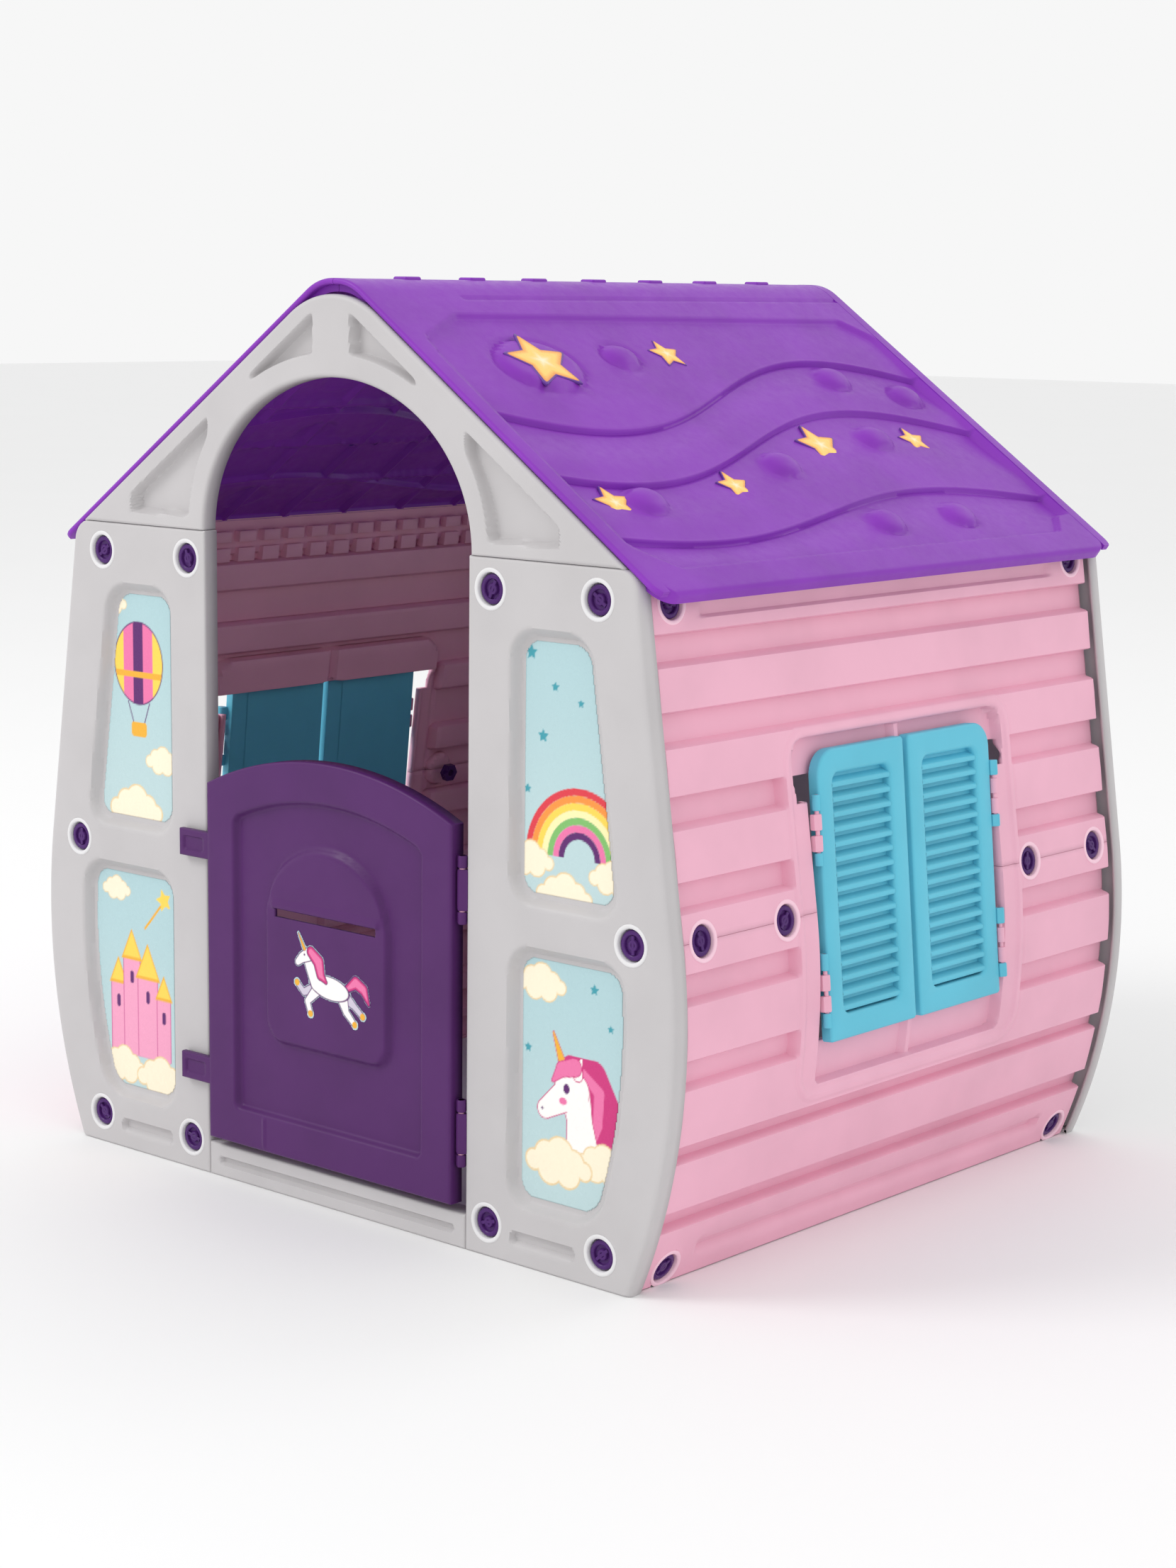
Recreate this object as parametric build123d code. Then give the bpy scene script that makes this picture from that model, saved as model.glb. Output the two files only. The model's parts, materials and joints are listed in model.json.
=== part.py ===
from build123d import *
from math import asin, atan2, cos, degrees, radians, sin, sqrt, tan
import os

# A child's plastic playhouse. +X is to the right of someone facing the door, the door is on the
# -Y side, +Z is up, and the origin is on the ground at the centre of the cabin.

# End panels and cabin
bulge_half = 520.0       # half width of the end panels at their widest
bulge_z = 290.0          # height of the widest point
bulge_radius = 731.0     # curve of the panels' lower part, seen from the front
lean_z = 394.0           # above this the sides run straight and lean inwards
house_depth = 900.0      # front face to rear face
panel_thick = 20.0
panel_skin = 5.0
seam_z = 790.0           # top of the lower panels, where the gable sits
corner_round = 28.0

# Roof
ridge_z = 1087.0
ridge_half = 26.0        # flat strip along the ridge, each side of the middle
eave_z = 766.0
eave_overhang = 28.0     # past the end panels' outline
roof_thick = 15.0
roof_skin = 4.0
roof_rim = 12.0
roof_setback = 14.0      # roof edge behind the faces of the end panels
ridge_bump = 3.0
ridge_bumps = 7

# Doorway, gable and sill
door_half = 216.0
gable_edge = 8.0         # gable slope below the roof's top surface
apex_round = 120.0
arch_band = 92.0         # gable left above the arch
arch_border = 28.0
slope_border = 21.0
gable_web = (31.0, 134.0, 210.0, 346.0)
sill_z = 41.0
lap_thick = 5.0
lap_width = 60.0

# Recessed fields of the lower panels
field_inner = 279.0
field_border = 70.0
field_depth = 12.0
field_round = 30.0
upper_field = (412.0, 716.0)
lower_field = (66.0, 366.0)
decal_thick = 0.4
decal_gap = 4.0

# Side walls
wall_inset = 5.0         # plank faces inside the end panels' outline
plank_rise = 15.0        # plank faces above the bottom of the grooves
wall_skin = 5.0
wall_top = 764.0
split_z = 394.0          # joint between the wall's lower and upper halves
planks = ((0.0, 70.0), (92.0, 152.0), (170.0, 236.0), (267.0, 329.0), (361.0, 427.0),
          (458.0, 515.0), (549.0, 601.0), (637.0, 686.0), (719.0, wall_top))
flange_width = 80.0

# Window and shutters
frame_low = 170.0
frame_high = 597.0
frame_drop = 3.0
sill_low = 195.0
window_half = 183.0
frame_half = window_half + 45.0     # raised frame, past the opening
window_low = 243.0
window_high = 545.0
notch_half = window_half + 22.0     # see-through corners beside the shutters
notch_low = 517.0
shutter_low = 243.0
shutter_high = 573.0
shutter_gap = 9.0
shutter_edge = window_half - 12.0
shutter_thick = 14.0
shutter_proud = 6.0
shutter_border = 29.0
shutter_round = 26.0
slat_pitch = 17.0
slat_thick = 3.0
shutter_axis_y = window_half - 6.0
knuckle_r = 5.4
shutter_pin_r = 2.5
wall_knuckles = ((280.0, 298.0), (304.0, 322.0), (461.0, 479.0), (485.0, 503.0))
shutter_knuckles = ((262.0, 278.5), (327.0, 346.0), (445.0, 459.5), (507.0, 525.0))

# Door
door_gap = 13.0
door_low = 52.0
door_side_z = 490.0
door_top_z = 535.0
door_thick = 20.0
door_proud = 10.0
door_border = 46.0
door_relief = 8.0
door_back = 7.0
boss_half = 99.0
boss_low = 194.0
boss_spring = 371.0
boss_top = 430.0
slot_half = 84.0
slot_low = 344.0
slot_high = 354.0
tab_reach = 38.0
tab_high = 33.0
tabs_z = (134.0, 412.0)
tab_thick = 8.0
door_axis_gap = 6.6      # hinge axis from the jamb
door_knuckle_r = 6.0
door_pin_r = 3.5
hinges_z = (135.5, 416.0)
hinge_high = 78.0
ear_high = 14.0

# Fasteners: a wide round head in a counterbore, a threaded shank and a nut inside
head_r = 17.0
head_thick = 7.0
head_gap = 1.5
shank_r = 5.0
shank_len = 36.0
nut_r = 13.0
nut_thick = 9.0
boss_r = 28.5
bolt_inset = 57.0        # outer bolts, in from the end panels' outline
end_bolt_x = 249.0
end_bolts_z = (39.0, 390.0, 755.0)
side_bolt_setback = 59.0  # side bolts behind the end faces
side_bolts_z = (20.0, 394.0, 752.0)
middle_bolt_y = frame_half + 16.0

# Clearances
seam_gap = 0.5
fit_gap = 0.05
thread_gap = 0.2
lap_gap = 0.3

# Worked out from the sizes above
front_y = -house_depth / 2
panel_back = front_y + panel_thick
arc_x = bulge_half - bulge_radius
lean = asin((lean_z - bulge_z) / bulge_radius)
end_z = 1400.0
eave_x = arc_x + bulge_radius / cos(lean) - (eave_z - bulge_z) * tan(lean) + eave_overhang
pitch = atan2(ridge_z - eave_z, eave_x - ridge_half)
apex_z = ridge_z - 19.0
arch_rise = apex_z - arch_band - seam_z
shutter_mid_z = (shutter_low + shutter_high) / 2


def outline_x(z, inset=0.0):
    """Half width at height z of the end panels' outline moved inwards by inset."""
    radius = bulge_radius - inset
    if z <= bulge_z + radius * sin(lean):
        return arc_x + sqrt(radius**2 - (z - bulge_z) ** 2)
    return arc_x + radius / cos(lean) - (z - bulge_z) * tan(lean)


def inside(inset, high=end_z):
    """Right half of the area inside the outline, from the ground up."""
    radius = bulge_radius - inset
    foot = (outline_x(0, inset), 0)
    bend = (arc_x + radius * cos(lean), bulge_z + radius * sin(lean))
    middle = (arc_x + radius * cos(lean / 2 - 0.15), bulge_z + radius * sin(lean / 2 - 0.15))
    top = (outline_x(high, inset), high)
    curve = ThreePointArc(foot, middle, bend)
    rest = Polyline(bend, top, (0, high), (0, 0), foot)
    return make_face(curve.edges() + rest.edges())


def band(outer, inner, low, high):
    """Strip along the outline between two insets and two heights."""
    return (inside(outer) - inside(inner)) & span(0, bulge_half * 2, low, high)


def span(x0, x1, z0, z1):
    return Pos((x0 + x1) / 2, (z0 + z1) / 2) * Rectangle(x1 - x0, z1 - z0)


def slab(face, y0, y1):
    """The front-view area, made solid between two depths."""
    return extrude(Plane.XZ.offset(-y0) * face, amount=y1 - y0, dir=(0, 1, 0))


def block(x0, x1, y0, y1, z0, z1):
    return slab(span(x0, x1, z0, z1), y0, y1)


def left_of(shape):
    return mirror(shape, about=Plane.YZ)


def turned(shape):
    """Front piece, made into the rear one by a half turn of the house."""
    return Rot(0, 0, 180) * shape


def rear_of(shape):
    return turned(left_of(shape))


def groove(x0, x1, z, high):
    return Pos((x0 + x1) / 2, z) * SlotOverall(x1 - x0, high)


# ---- fasteners ----

def end_plane(x, z):
    """Front face at a bolt, looking out of the house."""
    return Plane(origin=(x, front_y, z), x_dir=(1, 0, 0), z_dir=(0, -1, 0))


def side_plane(y, z):
    """Right wall's plank face at a bolt, along the face's own normal."""
    tilt = min(lean, asin((z - bulge_z) / bulge_radius))
    place = (outline_x(z, wall_inset), y, z)
    return Plane(origin=place, x_dir=(0, 1, 0), z_dir=(cos(tilt), 0, sin(tilt)))


def bolt(plane):
    head = Pos(0, 0, -head_thick / 2 - 0.5) * Cylinder(head_r, head_thick)
    head = fillet(head.edges().group_by(Axis.Z)[-1], 2.5)
    head -= Pos(0, 0, -1.5) * Box(head_r * 1.1, 4, 4)
    shank = Pos(0, 0, -head_thick - shank_len / 2) * Cylinder(shank_r, shank_len)
    return plane * (head + shank)


def nut(plane, depth):
    body = extrude(RegularPolygon(nut_r, 6), nut_thick) - extrude(Circle(shank_r + thread_gap), nut_thick)
    return plane * Pos(0, 0, -depth - nut_thick - lap_gap) * body


def bolt_boss(plane, depth):
    return plane * Pos(0, 0, -depth / 2) * Cylinder(boss_r, depth)


def bolt_hole(plane):
    head_depth = head_thick + 1.5
    mouth = Pos(0, 0, 20 - head_depth) * Cylinder(head_r + head_gap, 40)
    return plane * (mouth + Cylinder(shank_r + thread_gap * 2, 160))


def end_bolt_planes():
    inner = [end_plane(end_bolt_x, end_bolts_z[0]), end_plane(end_bolt_x, end_bolts_z[2])]
    return inner + [end_plane(outline_x(z) - bolt_inset, z) for z in end_bolts_z]


def side_bolt_planes():
    outer_y = house_depth / 2 - side_bolt_setback
    corners = [side_plane(side * outer_y, z) for z in side_bolts_z for side in (-1, 1)]
    return corners + [side_plane(side * middle_bolt_y, split_z) for side in (-1, 1)]


# ---- end walls ----

def panel_field(heights, grow=0.0):
    """Recessed field of a lower panel between two heights, made larger all round by grow."""
    low, high = heights
    area = inside(field_border - grow) & span(field_inner - grow, bulge_half * 2, low - grow, high + grow)
    return fillet(area.vertices(), field_round + grow)


def panel_outline(shrink=0.0):
    outline = inside(shrink) & span(door_half + shrink, bulge_half * 2, shrink, seam_z - shrink)
    outer_top = outline.vertices().group_by(Axis.Y)[-1].sort_by(Axis.X)[-1]
    return fillet(outer_top, corner_round - shrink)


def corner_lugs():
    """Plates behind the side wall that its outer bolts pull against."""
    reach = panel_back + side_bolt_setback + boss_r - panel_thick
    root = front_y + panel_skin * 2 - 2
    depth = wall_inset + plank_rise + wall_skin
    lugs = []
    for z in side_bolts_z:
        low = max(z - 22, 0)
        high = min(z + 22, wall_top)
        lugs.append(slab(band(depth + lap_gap, depth + lap_thick, low, high), root, reach))
    return lugs


def lower_panel():
    """Right front lower panel."""
    panel = slab(panel_outline(), front_y, panel_back)
    hollow = panel_outline(panel_skin + 3)
    for heights in (upper_field, lower_field):
        panel -= slab(panel_field(heights), front_y, front_y + field_depth)
        hollow -= panel_field(heights, panel_skin)
    for plane in end_bolt_planes():
        hollow -= Pos(plane.origin.X, plane.origin.Z) * Circle(boss_r)
    panel -= slab(hollow, front_y + panel_skin * 2, panel_back)
    slot_end = outline_x(end_bolts_z[0]) - bolt_inset - head_r * 2
    panel -= slab(groove(field_inner + 5, slot_end, end_bolts_z[0] - 9, 16), front_y, front_y + 7)
    for lug in corner_lugs():
        panel += lug
    for plane in end_bolt_planes() + side_bolt_planes():
        panel -= bolt_hole(plane)
    return panel - roof_space()


def hinge_knuckles(panel):
    """Door hinge sockets on the right jamb, bored for the pins."""
    axis_x = door_half - door_axis_gap
    for z in hinges_z:
        high = hinge_high - 2 * (ear_high + 1.5)
        low = z - high / 2
        panel += Pos(axis_x, front_y, z) * Cylinder(door_knuckle_r, high)
        panel += block(axis_x, door_half + 2, front_y, front_y + door_knuckle_r, low, low + high)
        panel -= Pos(axis_x, front_y, z) * Cylinder(door_pin_r + fit_gap, high)
    return panel


def arch(grow=0.0):
    return Pos(0, seam_z) * Ellipse(door_half + 2 + grow, arch_rise + grow)


def slope_area(drop):
    """Area below the two roof slopes, drop below the roof's top surface."""
    fall = drop / cos(pitch)
    peak = ridge_z + ridge_half * tan(pitch) - fall
    foot = eave_x * 2
    foot_z = peak - foot * tan(pitch)
    return make_face(Polyline((-foot, foot_z), (0, peak), (foot, foot_z), close=True))


def gable_outline():
    area = slope_area(gable_edge)
    area = fillet(area.vertices().sort_by(Axis.Y)[-1], apex_round)
    half = outline_x(seam_z) - corner_round / 2
    return area & span(-half, half, seam_z + seam_gap, end_z)


def gable_fields():
    area = slope_area(gable_edge + slope_border) - arch(arch_border)
    area &= span(-gable_web[3], gable_web[3], seam_z + 18, end_z)
    area -= span(-gable_web[0], gable_web[0], seam_z, end_z)
    for side in (-1, 1):
        middle = side * (gable_web[1] + gable_web[2]) / 2
        half = (gable_web[2] - gable_web[1]) / 2
        area -= span(middle - half, middle + half, seam_z, end_z)
    return area


def gable():
    outline = gable_outline() - arch()
    piece = slab(outline, front_y, panel_back)
    piece -= slab(gable_fields(), front_y, front_y + 9)
    for side in (-1, 1):
        centre = side * end_bolt_x
        lap = block(centre - lap_width / 2, centre + lap_width / 2, panel_back, panel_back + lap_thick,
                    end_bolts_z[2] - boss_r, seam_z + 12)
        piece += lap - slab(arch(), panel_back, panel_back + lap_thick)
    for plane in end_bolt_planes()[:2]:
        piece -= bolt_hole(plane) + left_of(bolt_hole(plane))
    return piece - roof_space()


def lap_plates(high):
    plates = []
    for side in (-1, 1):
        centre = side * end_bolt_x
        inner = side * (door_half - 8)
        low_x, high_x = sorted((inner, centre + side * lap_width / 2))
        plates.append(block(low_x, high_x, panel_back + seam_gap, panel_back + lap_thick, 0, high))
    return plates


def sill():
    half = door_half - seam_gap
    piece = block(-half, half, front_y, panel_back + lap_thick, 0, sill_z)
    piece -= slab(groove(-half + 18, half - 18, sill_z / 2, 9), front_y, front_y + 6)
    piece -= block(-half + 8, half - 8, front_y + 8, panel_back, -1, sill_z - 5)
    for plate in lap_plates(end_bolts_z[0] + boss_r):
        piece += plate
    plane = end_bolt_planes()[0]
    return piece - bolt_hole(plane) - left_of(bolt_hole(plane))


def door_outline(half, low, side_z, top_z):
    arc = ThreePointArc((half, side_z), (0, top_z), (-half, side_z))
    rest = Polyline((-half, side_z), (-half, low), (half, low), (half, side_z))
    return make_face(arc.edges() + rest.edges())


def rear_infill():
    """Low fixed wall that closes the rear doorway, made at the front and turned round."""
    half = door_half - seam_gap
    piece = slab(door_outline(half, 0, door_side_z, door_top_z), front_y + 2, panel_back + lap_thick)
    field = door_outline(half - door_border, sill_z * 2, door_side_z - door_border, door_top_z - door_border)
    piece -= slab(field, front_y, front_y + 2 + door_relief)
    piece -= slab(field, panel_back - 5, panel_back + lap_thick)
    for plate in lap_plates(end_bolts_z[0] + boss_r):
        piece += plate
    plane = end_bolt_planes()[0]
    return turned(piece - bolt_hole(plane) - left_of(bolt_hole(plane)))


# ---- roof ----

def roof_profile(gap=0.0):
    """Right half of the roof seen from the front."""
    drop = roof_thick + gap
    under_x = ridge_half - roof_thick * tan(pitch / 2)
    tip = (eave_x + gap, eave_z - gap * tan(pitch))
    lip = (tip[0] - drop * sin(pitch), tip[1] - drop * cos(pitch))
    under = (under_x, ridge_z - drop)
    top = [(0, ridge_z), (ridge_half, ridge_z), tip]
    return make_face(Polyline(*top, lip, under, (0, ridge_z - drop), close=True))


def roof_space():
    """The roof with room around it, cut from what it sits on."""
    half = house_depth / 2 - roof_setback + seam_gap
    side = slab(roof_profile(seam_gap), -half, half)
    return side + left_of(side)


def roof_panel():
    half = house_depth / 2 - roof_setback
    panel = slab(roof_profile() & span(seam_gap / 2, eave_x * 2, 0, end_z), -half, half)
    corners = panel.edges().filter_by(lambda e: abs(e.length - roof_thick) < 0.01).group_by(Axis.Z)[0]
    panel = fillet(corners, 26)
    slope = Plane(origin=(ridge_half, 0, ridge_z), x_dir=(cos(pitch), 0, -sin(pitch)),
                  z_dir=(sin(pitch), 0, cos(pitch)))
    run = (eave_x - ridge_half) / cos(pitch)
    bays = 3
    bay_x = (run - roof_rim * (bays + 1)) / bays
    for i in range(bays):
        for side in (-1, 1):
            centre = roof_rim + bay_x / 2 + i * (bay_x + roof_rim)
            pocket = Box(bay_x, half - roof_rim * 2, roof_thick)
            panel -= slope * Pos(centre, side * half / 2, -roof_skin - roof_thick / 2) * pocket
    return panel


def ridge_knuckles(first):
    """Alternate raised knuckles where the two roof panels clip together."""
    step = (house_depth - 2 * roof_setback) / (ridge_bumps + 1)
    places = [(i + 1) * step - (house_depth / 2 - roof_setback) for i in range(ridge_bumps)]
    return [Pos(0, y, ridge_z + ridge_bump / 2) * Box(22, 26, ridge_bump) for y in places[first::2]]


def roof_half(first):
    panel = roof_panel()
    for bump in ridge_knuckles(first):
        panel += bump
    return panel


# ---- side walls ----

def side_block(outer, inner, y0, y1, z0, z1):
    return slab(band(outer, inner, z0, z1), y0, y1)


def wall_shell():
    """Whole right wall: one skin that steps out at each plank, open inside."""
    end = house_depth / 2 - panel_thick
    floor = wall_inset + plank_rise
    back = floor + wall_skin
    wall = side_block(floor, back, -end, end, 0, wall_top)
    for low, high in planks:
        wall += side_block(wall_inset, floor, -end, end, low, high)
        hollow_low = low + wall_skin
        wall -= side_block(wall_inset + wall_skin, back + 1, -end + wall_skin, end - wall_skin,
                           hollow_low, high - wall_skin)
    for low, high in ((-end, -end + wall_skin), (end - wall_skin, end)):
        wall += side_block(floor, back + flange_width, low, high, 0, wall_top)
    return wall


def window_frame(wall):
    floor = wall_inset + plank_rise
    back = floor + wall_skin
    hole = wall_inset - 30
    wall += side_block(wall_inset + frame_drop, back, -frame_half, frame_half, frame_low, frame_high)
    wall -= side_block(hole, floor, -window_half, window_half, sill_low, frame_high - 8)
    wall -= side_block(hole, back + 40, -window_half, window_half, window_low, window_high)
    wall -= side_block(hole, back + 40, -notch_half, notch_half, notch_low, window_high)
    return wall


def wall_slots(wall):
    end = house_depth / 2 - side_bolt_setback - 46
    for z in (35.0, 739.0):
        wall -= side_block(wall_inset - 30, wall_inset + wall_skin - 2, -end, end, z - 8, z + 8)
    return wall


def shutter_axis(y):
    """Plane at a shutter's hinge: z along the pin, x out of the wall."""
    return Plane(origin=shutter_place(y, shutter_mid_z), x_dir=shutter_out(), z_dir=shutter_up())


def shutter_lean():
    low_x = outline_x(shutter_low, wall_inset)
    high_x = outline_x(shutter_high, wall_inset)
    return atan2(low_x - high_x, shutter_high - shutter_low)


def shutter_out():
    return (cos(shutter_lean()), 0, sin(shutter_lean()))


def shutter_up():
    return (-sin(shutter_lean()), 0, cos(shutter_lean()))


def shutter_place(y, z):
    """A point of the shutters' outer face."""
    low_x = outline_x(shutter_low, wall_inset) + shutter_proud
    return (low_x - (z - shutter_low) * tan(shutter_lean()), y, z)


def knuckle(y, heights, reach):
    """Hinge barrel at a height range, joined sideways to reach."""
    low, high = heights
    length = (high - low) / cos(shutter_lean())
    middle = ((low + high) / 2 - shutter_mid_z) / cos(shutter_lean())
    plane = shutter_axis(y)
    web = Pos(-knuckle_r / 2, reach / 2, middle) * Box(knuckle_r, abs(reach), length)
    return plane * (web + Pos(0, 0, middle) * Cylinder(knuckle_r, length))


def shutter_bores(y):
    return shutter_axis(y) * Cylinder(shutter_pin_r + fit_gap, shutter_high)


def right_wall():
    wall = wall_slots(window_frame(wall_shell()))
    back = plank_rise + wall_skin
    for plane in side_bolt_planes():
        wall += bolt_boss(plane, back)
    for side in (-1, 1):
        for heights in wall_knuckles:
            wall += knuckle(side * shutter_axis_y, heights, side * (window_half + 4 - shutter_axis_y))
        wall -= shutter_bores(side * shutter_axis_y)
    for plane in side_bolt_planes():
        wall -= bolt_hole(plane)
    for plane in end_bolt_planes():
        wall -= bolt_hole(plane) + rear_of(bolt_hole(plane))
    for lug in corner_lug_space():
        wall -= lug + rear_of(lug)
    return wall


def corner_lug_space():
    depth = wall_inset + plank_rise + wall_skin
    reach = panel_back + side_bolt_setback + boss_r - panel_thick
    spaces = []
    for z in side_bolts_z:
        area = band(depth, depth + lap_thick + seam_gap, z - 22 - seam_gap, z + 22 + seam_gap)
        spaces.append(slab(area, panel_back - 5, reach + seam_gap))
    return spaces


def wall_halves():
    wall = right_wall()
    depth = wall_inset + plank_rise + wall_skin
    far = bulge_half * 2
    end = house_depth
    lower = wall & block(0, far, -end, end, 0, split_z)
    upper = wall & block(0, far, -end, end, split_z + seam_gap, end_z)
    for side in (-1, 1):
        y0, y1 = sorted((side * (window_half + 14), side * (middle_bolt_y + 44)))
        lap = side_block(depth + lap_gap, depth + lap_thick, y0, y1, split_z - 34, split_z + 30)
        root = side_block(depth - wall_skin, depth + lap_thick, y0, y1, split_z - 34, split_z - 26)
        lower += (lap + root) - bolt_hole(side_plane(side * middle_bolt_y, split_z))
    return lower, upper


# ---- shutters ----

def shutter():
    """Right wall's front shutter, between its hinge edge and the gap in the middle."""
    width = shutter_edge - shutter_gap / 2
    high = (shutter_high - shutter_low) / cos(shutter_lean())
    plane = Plane(origin=shutter_place(-(shutter_edge + shutter_gap / 2) / 2, shutter_mid_z),
                  x_dir=(0, 1, 0), z_dir=shutter_out())
    outline = Rectangle(width, high)
    outer = outline.vertices().group_by(Axis.X)[0].sort_by(Axis.Y)[-1]
    outline = fillet(outer, shutter_round)
    field = Rectangle(width - 2 * shutter_border, high - 2 * shutter_border)
    field = fillet(field.vertices(), 12)
    leaf = extrude(outline, -shutter_thick) - extrude(field, -(shutter_thick - slat_thick))
    count = int((high - 2 * shutter_border) / slat_pitch)
    first = -(count - 1) * slat_pitch / 2
    for i in range(count):
        slat = Rot(35, 0, 0) * Box(width - 2 * shutter_border + 4, slat_thick, shutter_thick - 2)
        leaf += Pos(0, first + i * slat_pitch, -shutter_thick / 2 - 1) * slat
    piece = plane * leaf
    for heights in shutter_knuckles:
        piece += knuckle(-shutter_axis_y, heights, shutter_axis_y - shutter_edge + 3)
    return piece - shutter_bores(-shutter_axis_y)


def shutter_pins():
    pins = []
    for low, high in ((shutter_knuckles[0][0], shutter_knuckles[1][1]),
                      (shutter_knuckles[2][0], shutter_knuckles[3][1])):
        middle = ((low + high) / 2 - shutter_mid_z) / cos(shutter_lean())
        for side in (-1, 1):
            pin = Cylinder(shutter_pin_r, (high - low) / cos(shutter_lean()))
            pins.append(shutter_axis(side * shutter_axis_y) * Pos(0, 0, middle) * pin)
    return pins


# ---- door ----

def door():
    half = door_half - door_gap
    face = front_y - door_proud
    back = face + door_thick
    piece = slab(door_outline(half, door_low, door_side_z, door_top_z), face, back)
    field = door_outline(half - door_border, door_low + 44, door_side_z - 35, door_top_z - 47)
    boss = door_outline(boss_half, boss_low, boss_spring, boss_top)
    boss = fillet(boss.vertices().group_by(Axis.Y)[0], 24)
    piece -= slab(field - boss, face, face + door_relief)
    hollow = door_outline(half - 8, door_low + 8, door_side_z - 8, door_top_z - 8)
    piece -= slab(hollow, back - door_back, back)
    piece -= block(-slot_half, slot_half, face - 5, back + 5, slot_low, slot_high)
    piece += block(-slot_half, slot_half, face - 2, face + 4, slot_high, slot_high + 6)
    for z in tabs_z:
        piece += block(-half - tab_reach - door_gap, -half + 8, face + 0.5, face + 0.5 + tab_thick,
                       z - tab_high / 2, z + tab_high / 2)
    return door_ears(piece)


def door_ears(piece):
    axis_x = door_half - door_axis_gap
    half = door_half - door_gap
    for z in hinges_z:
        for side in (-1, 1):
            middle = z + side * (hinge_high - ear_high) / 2
            low = middle - ear_high / 2
            piece += Pos(axis_x, front_y, middle) * Cylinder(door_knuckle_r, ear_high)
            piece += block(half - 8, axis_x, front_y - door_knuckle_r, front_y + door_knuckle_r,
                           low, low + ear_high)
        piece -= Pos(axis_x, front_y, z) * Cylinder(door_pin_r + fit_gap, hinge_high)
    return piece


def door_pins():
    axis_x = door_half - door_axis_gap
    return [Pos(axis_x, front_y, z) * Cylinder(door_pin_r, hinge_high) for z in hinges_z]


# ---- printed sheets ----

def panel_decal(heights):
    area = panel_field(heights, -decal_gap)
    back = front_y + field_depth
    return slab(area, back - decal_thick, back)


def door_decal():
    area = Pos(0, (boss_low + slot_low) / 2) * RectangleRounded(150, 130, 30)
    face = front_y - door_proud
    return slab(area, face - decal_thick, face)


# ---- writing ----

def save(shape, name):
    """Write one node: one solid, or a list of separate ones."""
    node = Compound(children=shape) if isinstance(shape, list) else shape
    export_step(node, f"parts/{name}.step")


def both_sides(shapes):
    return list(shapes) + [left_of(shape) for shape in shapes]


def save_ends():
    panel = lower_panel()
    save(hinge_knuckles(panel), "front_right_panel")
    save(left_of(panel), "front_left_panel")
    save(rear_of(panel), "rear_right_panel")
    save(turned(panel), "rear_left_panel")
    save(gable(), "front_gable")
    save(turned(gable()), "rear_gable")
    save(sill(), "door_sill")
    save(rear_infill(), "rear_infill")
    bolts = both_sides([bolt(plane) for plane in end_bolt_planes()])
    nuts = both_sides([nut(plane, panel_thick + lap_thick) for plane in end_bolt_planes()])
    save(bolts, "front_bolts")
    save(nuts, "front_nuts")
    save([turned(piece) for piece in bolts], "rear_bolts")
    save([turned(piece) for piece in nuts], "rear_nuts")
    for name, heights in (("upper", upper_field), ("lower", lower_field)):
        save(panel_decal(heights), f"right_{name}_decal")
        save(left_of(panel_decal(heights)), f"left_{name}_decal")


def save_sides():
    lower, upper = wall_halves()
    leaf = shutter()
    bolts = [bolt(plane) for plane in side_bolt_planes()]
    nuts = [nut(plane, plank_rise + wall_skin + lap_thick) for plane in side_bolt_planes()]
    groups = {"wall_lower": lower, "wall_upper": upper, "front_shutter": leaf,
              "rear_shutter": rear_of(leaf)}
    for name, shape in groups.items():
        save(shape, f"right_{name}")
        save(left_of(shape), f"left_{name}")
    for name, shapes in {"shutter_pins": shutter_pins(), "wall_bolts": bolts, "wall_nuts": nuts}.items():
        save(shapes, f"right_{name}")
        save([left_of(shape) for shape in shapes], f"left_{name}")


def save_door():
    save(door(), "door")
    save(door_pins(), "door_pins")
    save(door_decal(), "door_decal")


os.makedirs("parts", exist_ok=True)
save_ends()
save(roof_half(0), "roof_right")
save(left_of(roof_half(1)), "roof_left")
save_sides()
save_door()
place = shutter_place(shutter_axis_y, shutter_mid_z)
print("roof pitch", round(degrees(pitch), 2), "eave x", round(eave_x, 1))
print("shutter lean", round(degrees(shutter_lean()), 3), "axis at", place)
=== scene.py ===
import json
import math
import bmesh
import bpy
import numpy as np
from mathutils import Matrix, Vector


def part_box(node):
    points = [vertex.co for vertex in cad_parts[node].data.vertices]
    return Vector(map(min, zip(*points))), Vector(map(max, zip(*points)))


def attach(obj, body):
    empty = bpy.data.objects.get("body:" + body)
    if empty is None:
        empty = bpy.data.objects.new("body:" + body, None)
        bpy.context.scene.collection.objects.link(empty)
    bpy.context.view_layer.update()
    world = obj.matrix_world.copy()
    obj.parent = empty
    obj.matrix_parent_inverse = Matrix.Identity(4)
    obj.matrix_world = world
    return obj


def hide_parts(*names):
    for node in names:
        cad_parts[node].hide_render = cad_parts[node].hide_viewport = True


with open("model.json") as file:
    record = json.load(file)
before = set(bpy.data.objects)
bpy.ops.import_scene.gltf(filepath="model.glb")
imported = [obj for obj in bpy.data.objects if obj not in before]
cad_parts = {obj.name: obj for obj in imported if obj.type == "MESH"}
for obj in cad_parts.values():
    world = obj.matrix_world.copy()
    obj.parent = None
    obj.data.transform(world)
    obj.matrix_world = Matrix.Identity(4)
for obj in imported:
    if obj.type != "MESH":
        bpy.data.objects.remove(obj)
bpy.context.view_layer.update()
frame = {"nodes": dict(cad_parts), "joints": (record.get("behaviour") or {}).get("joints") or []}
print("frame loaded")

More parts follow.
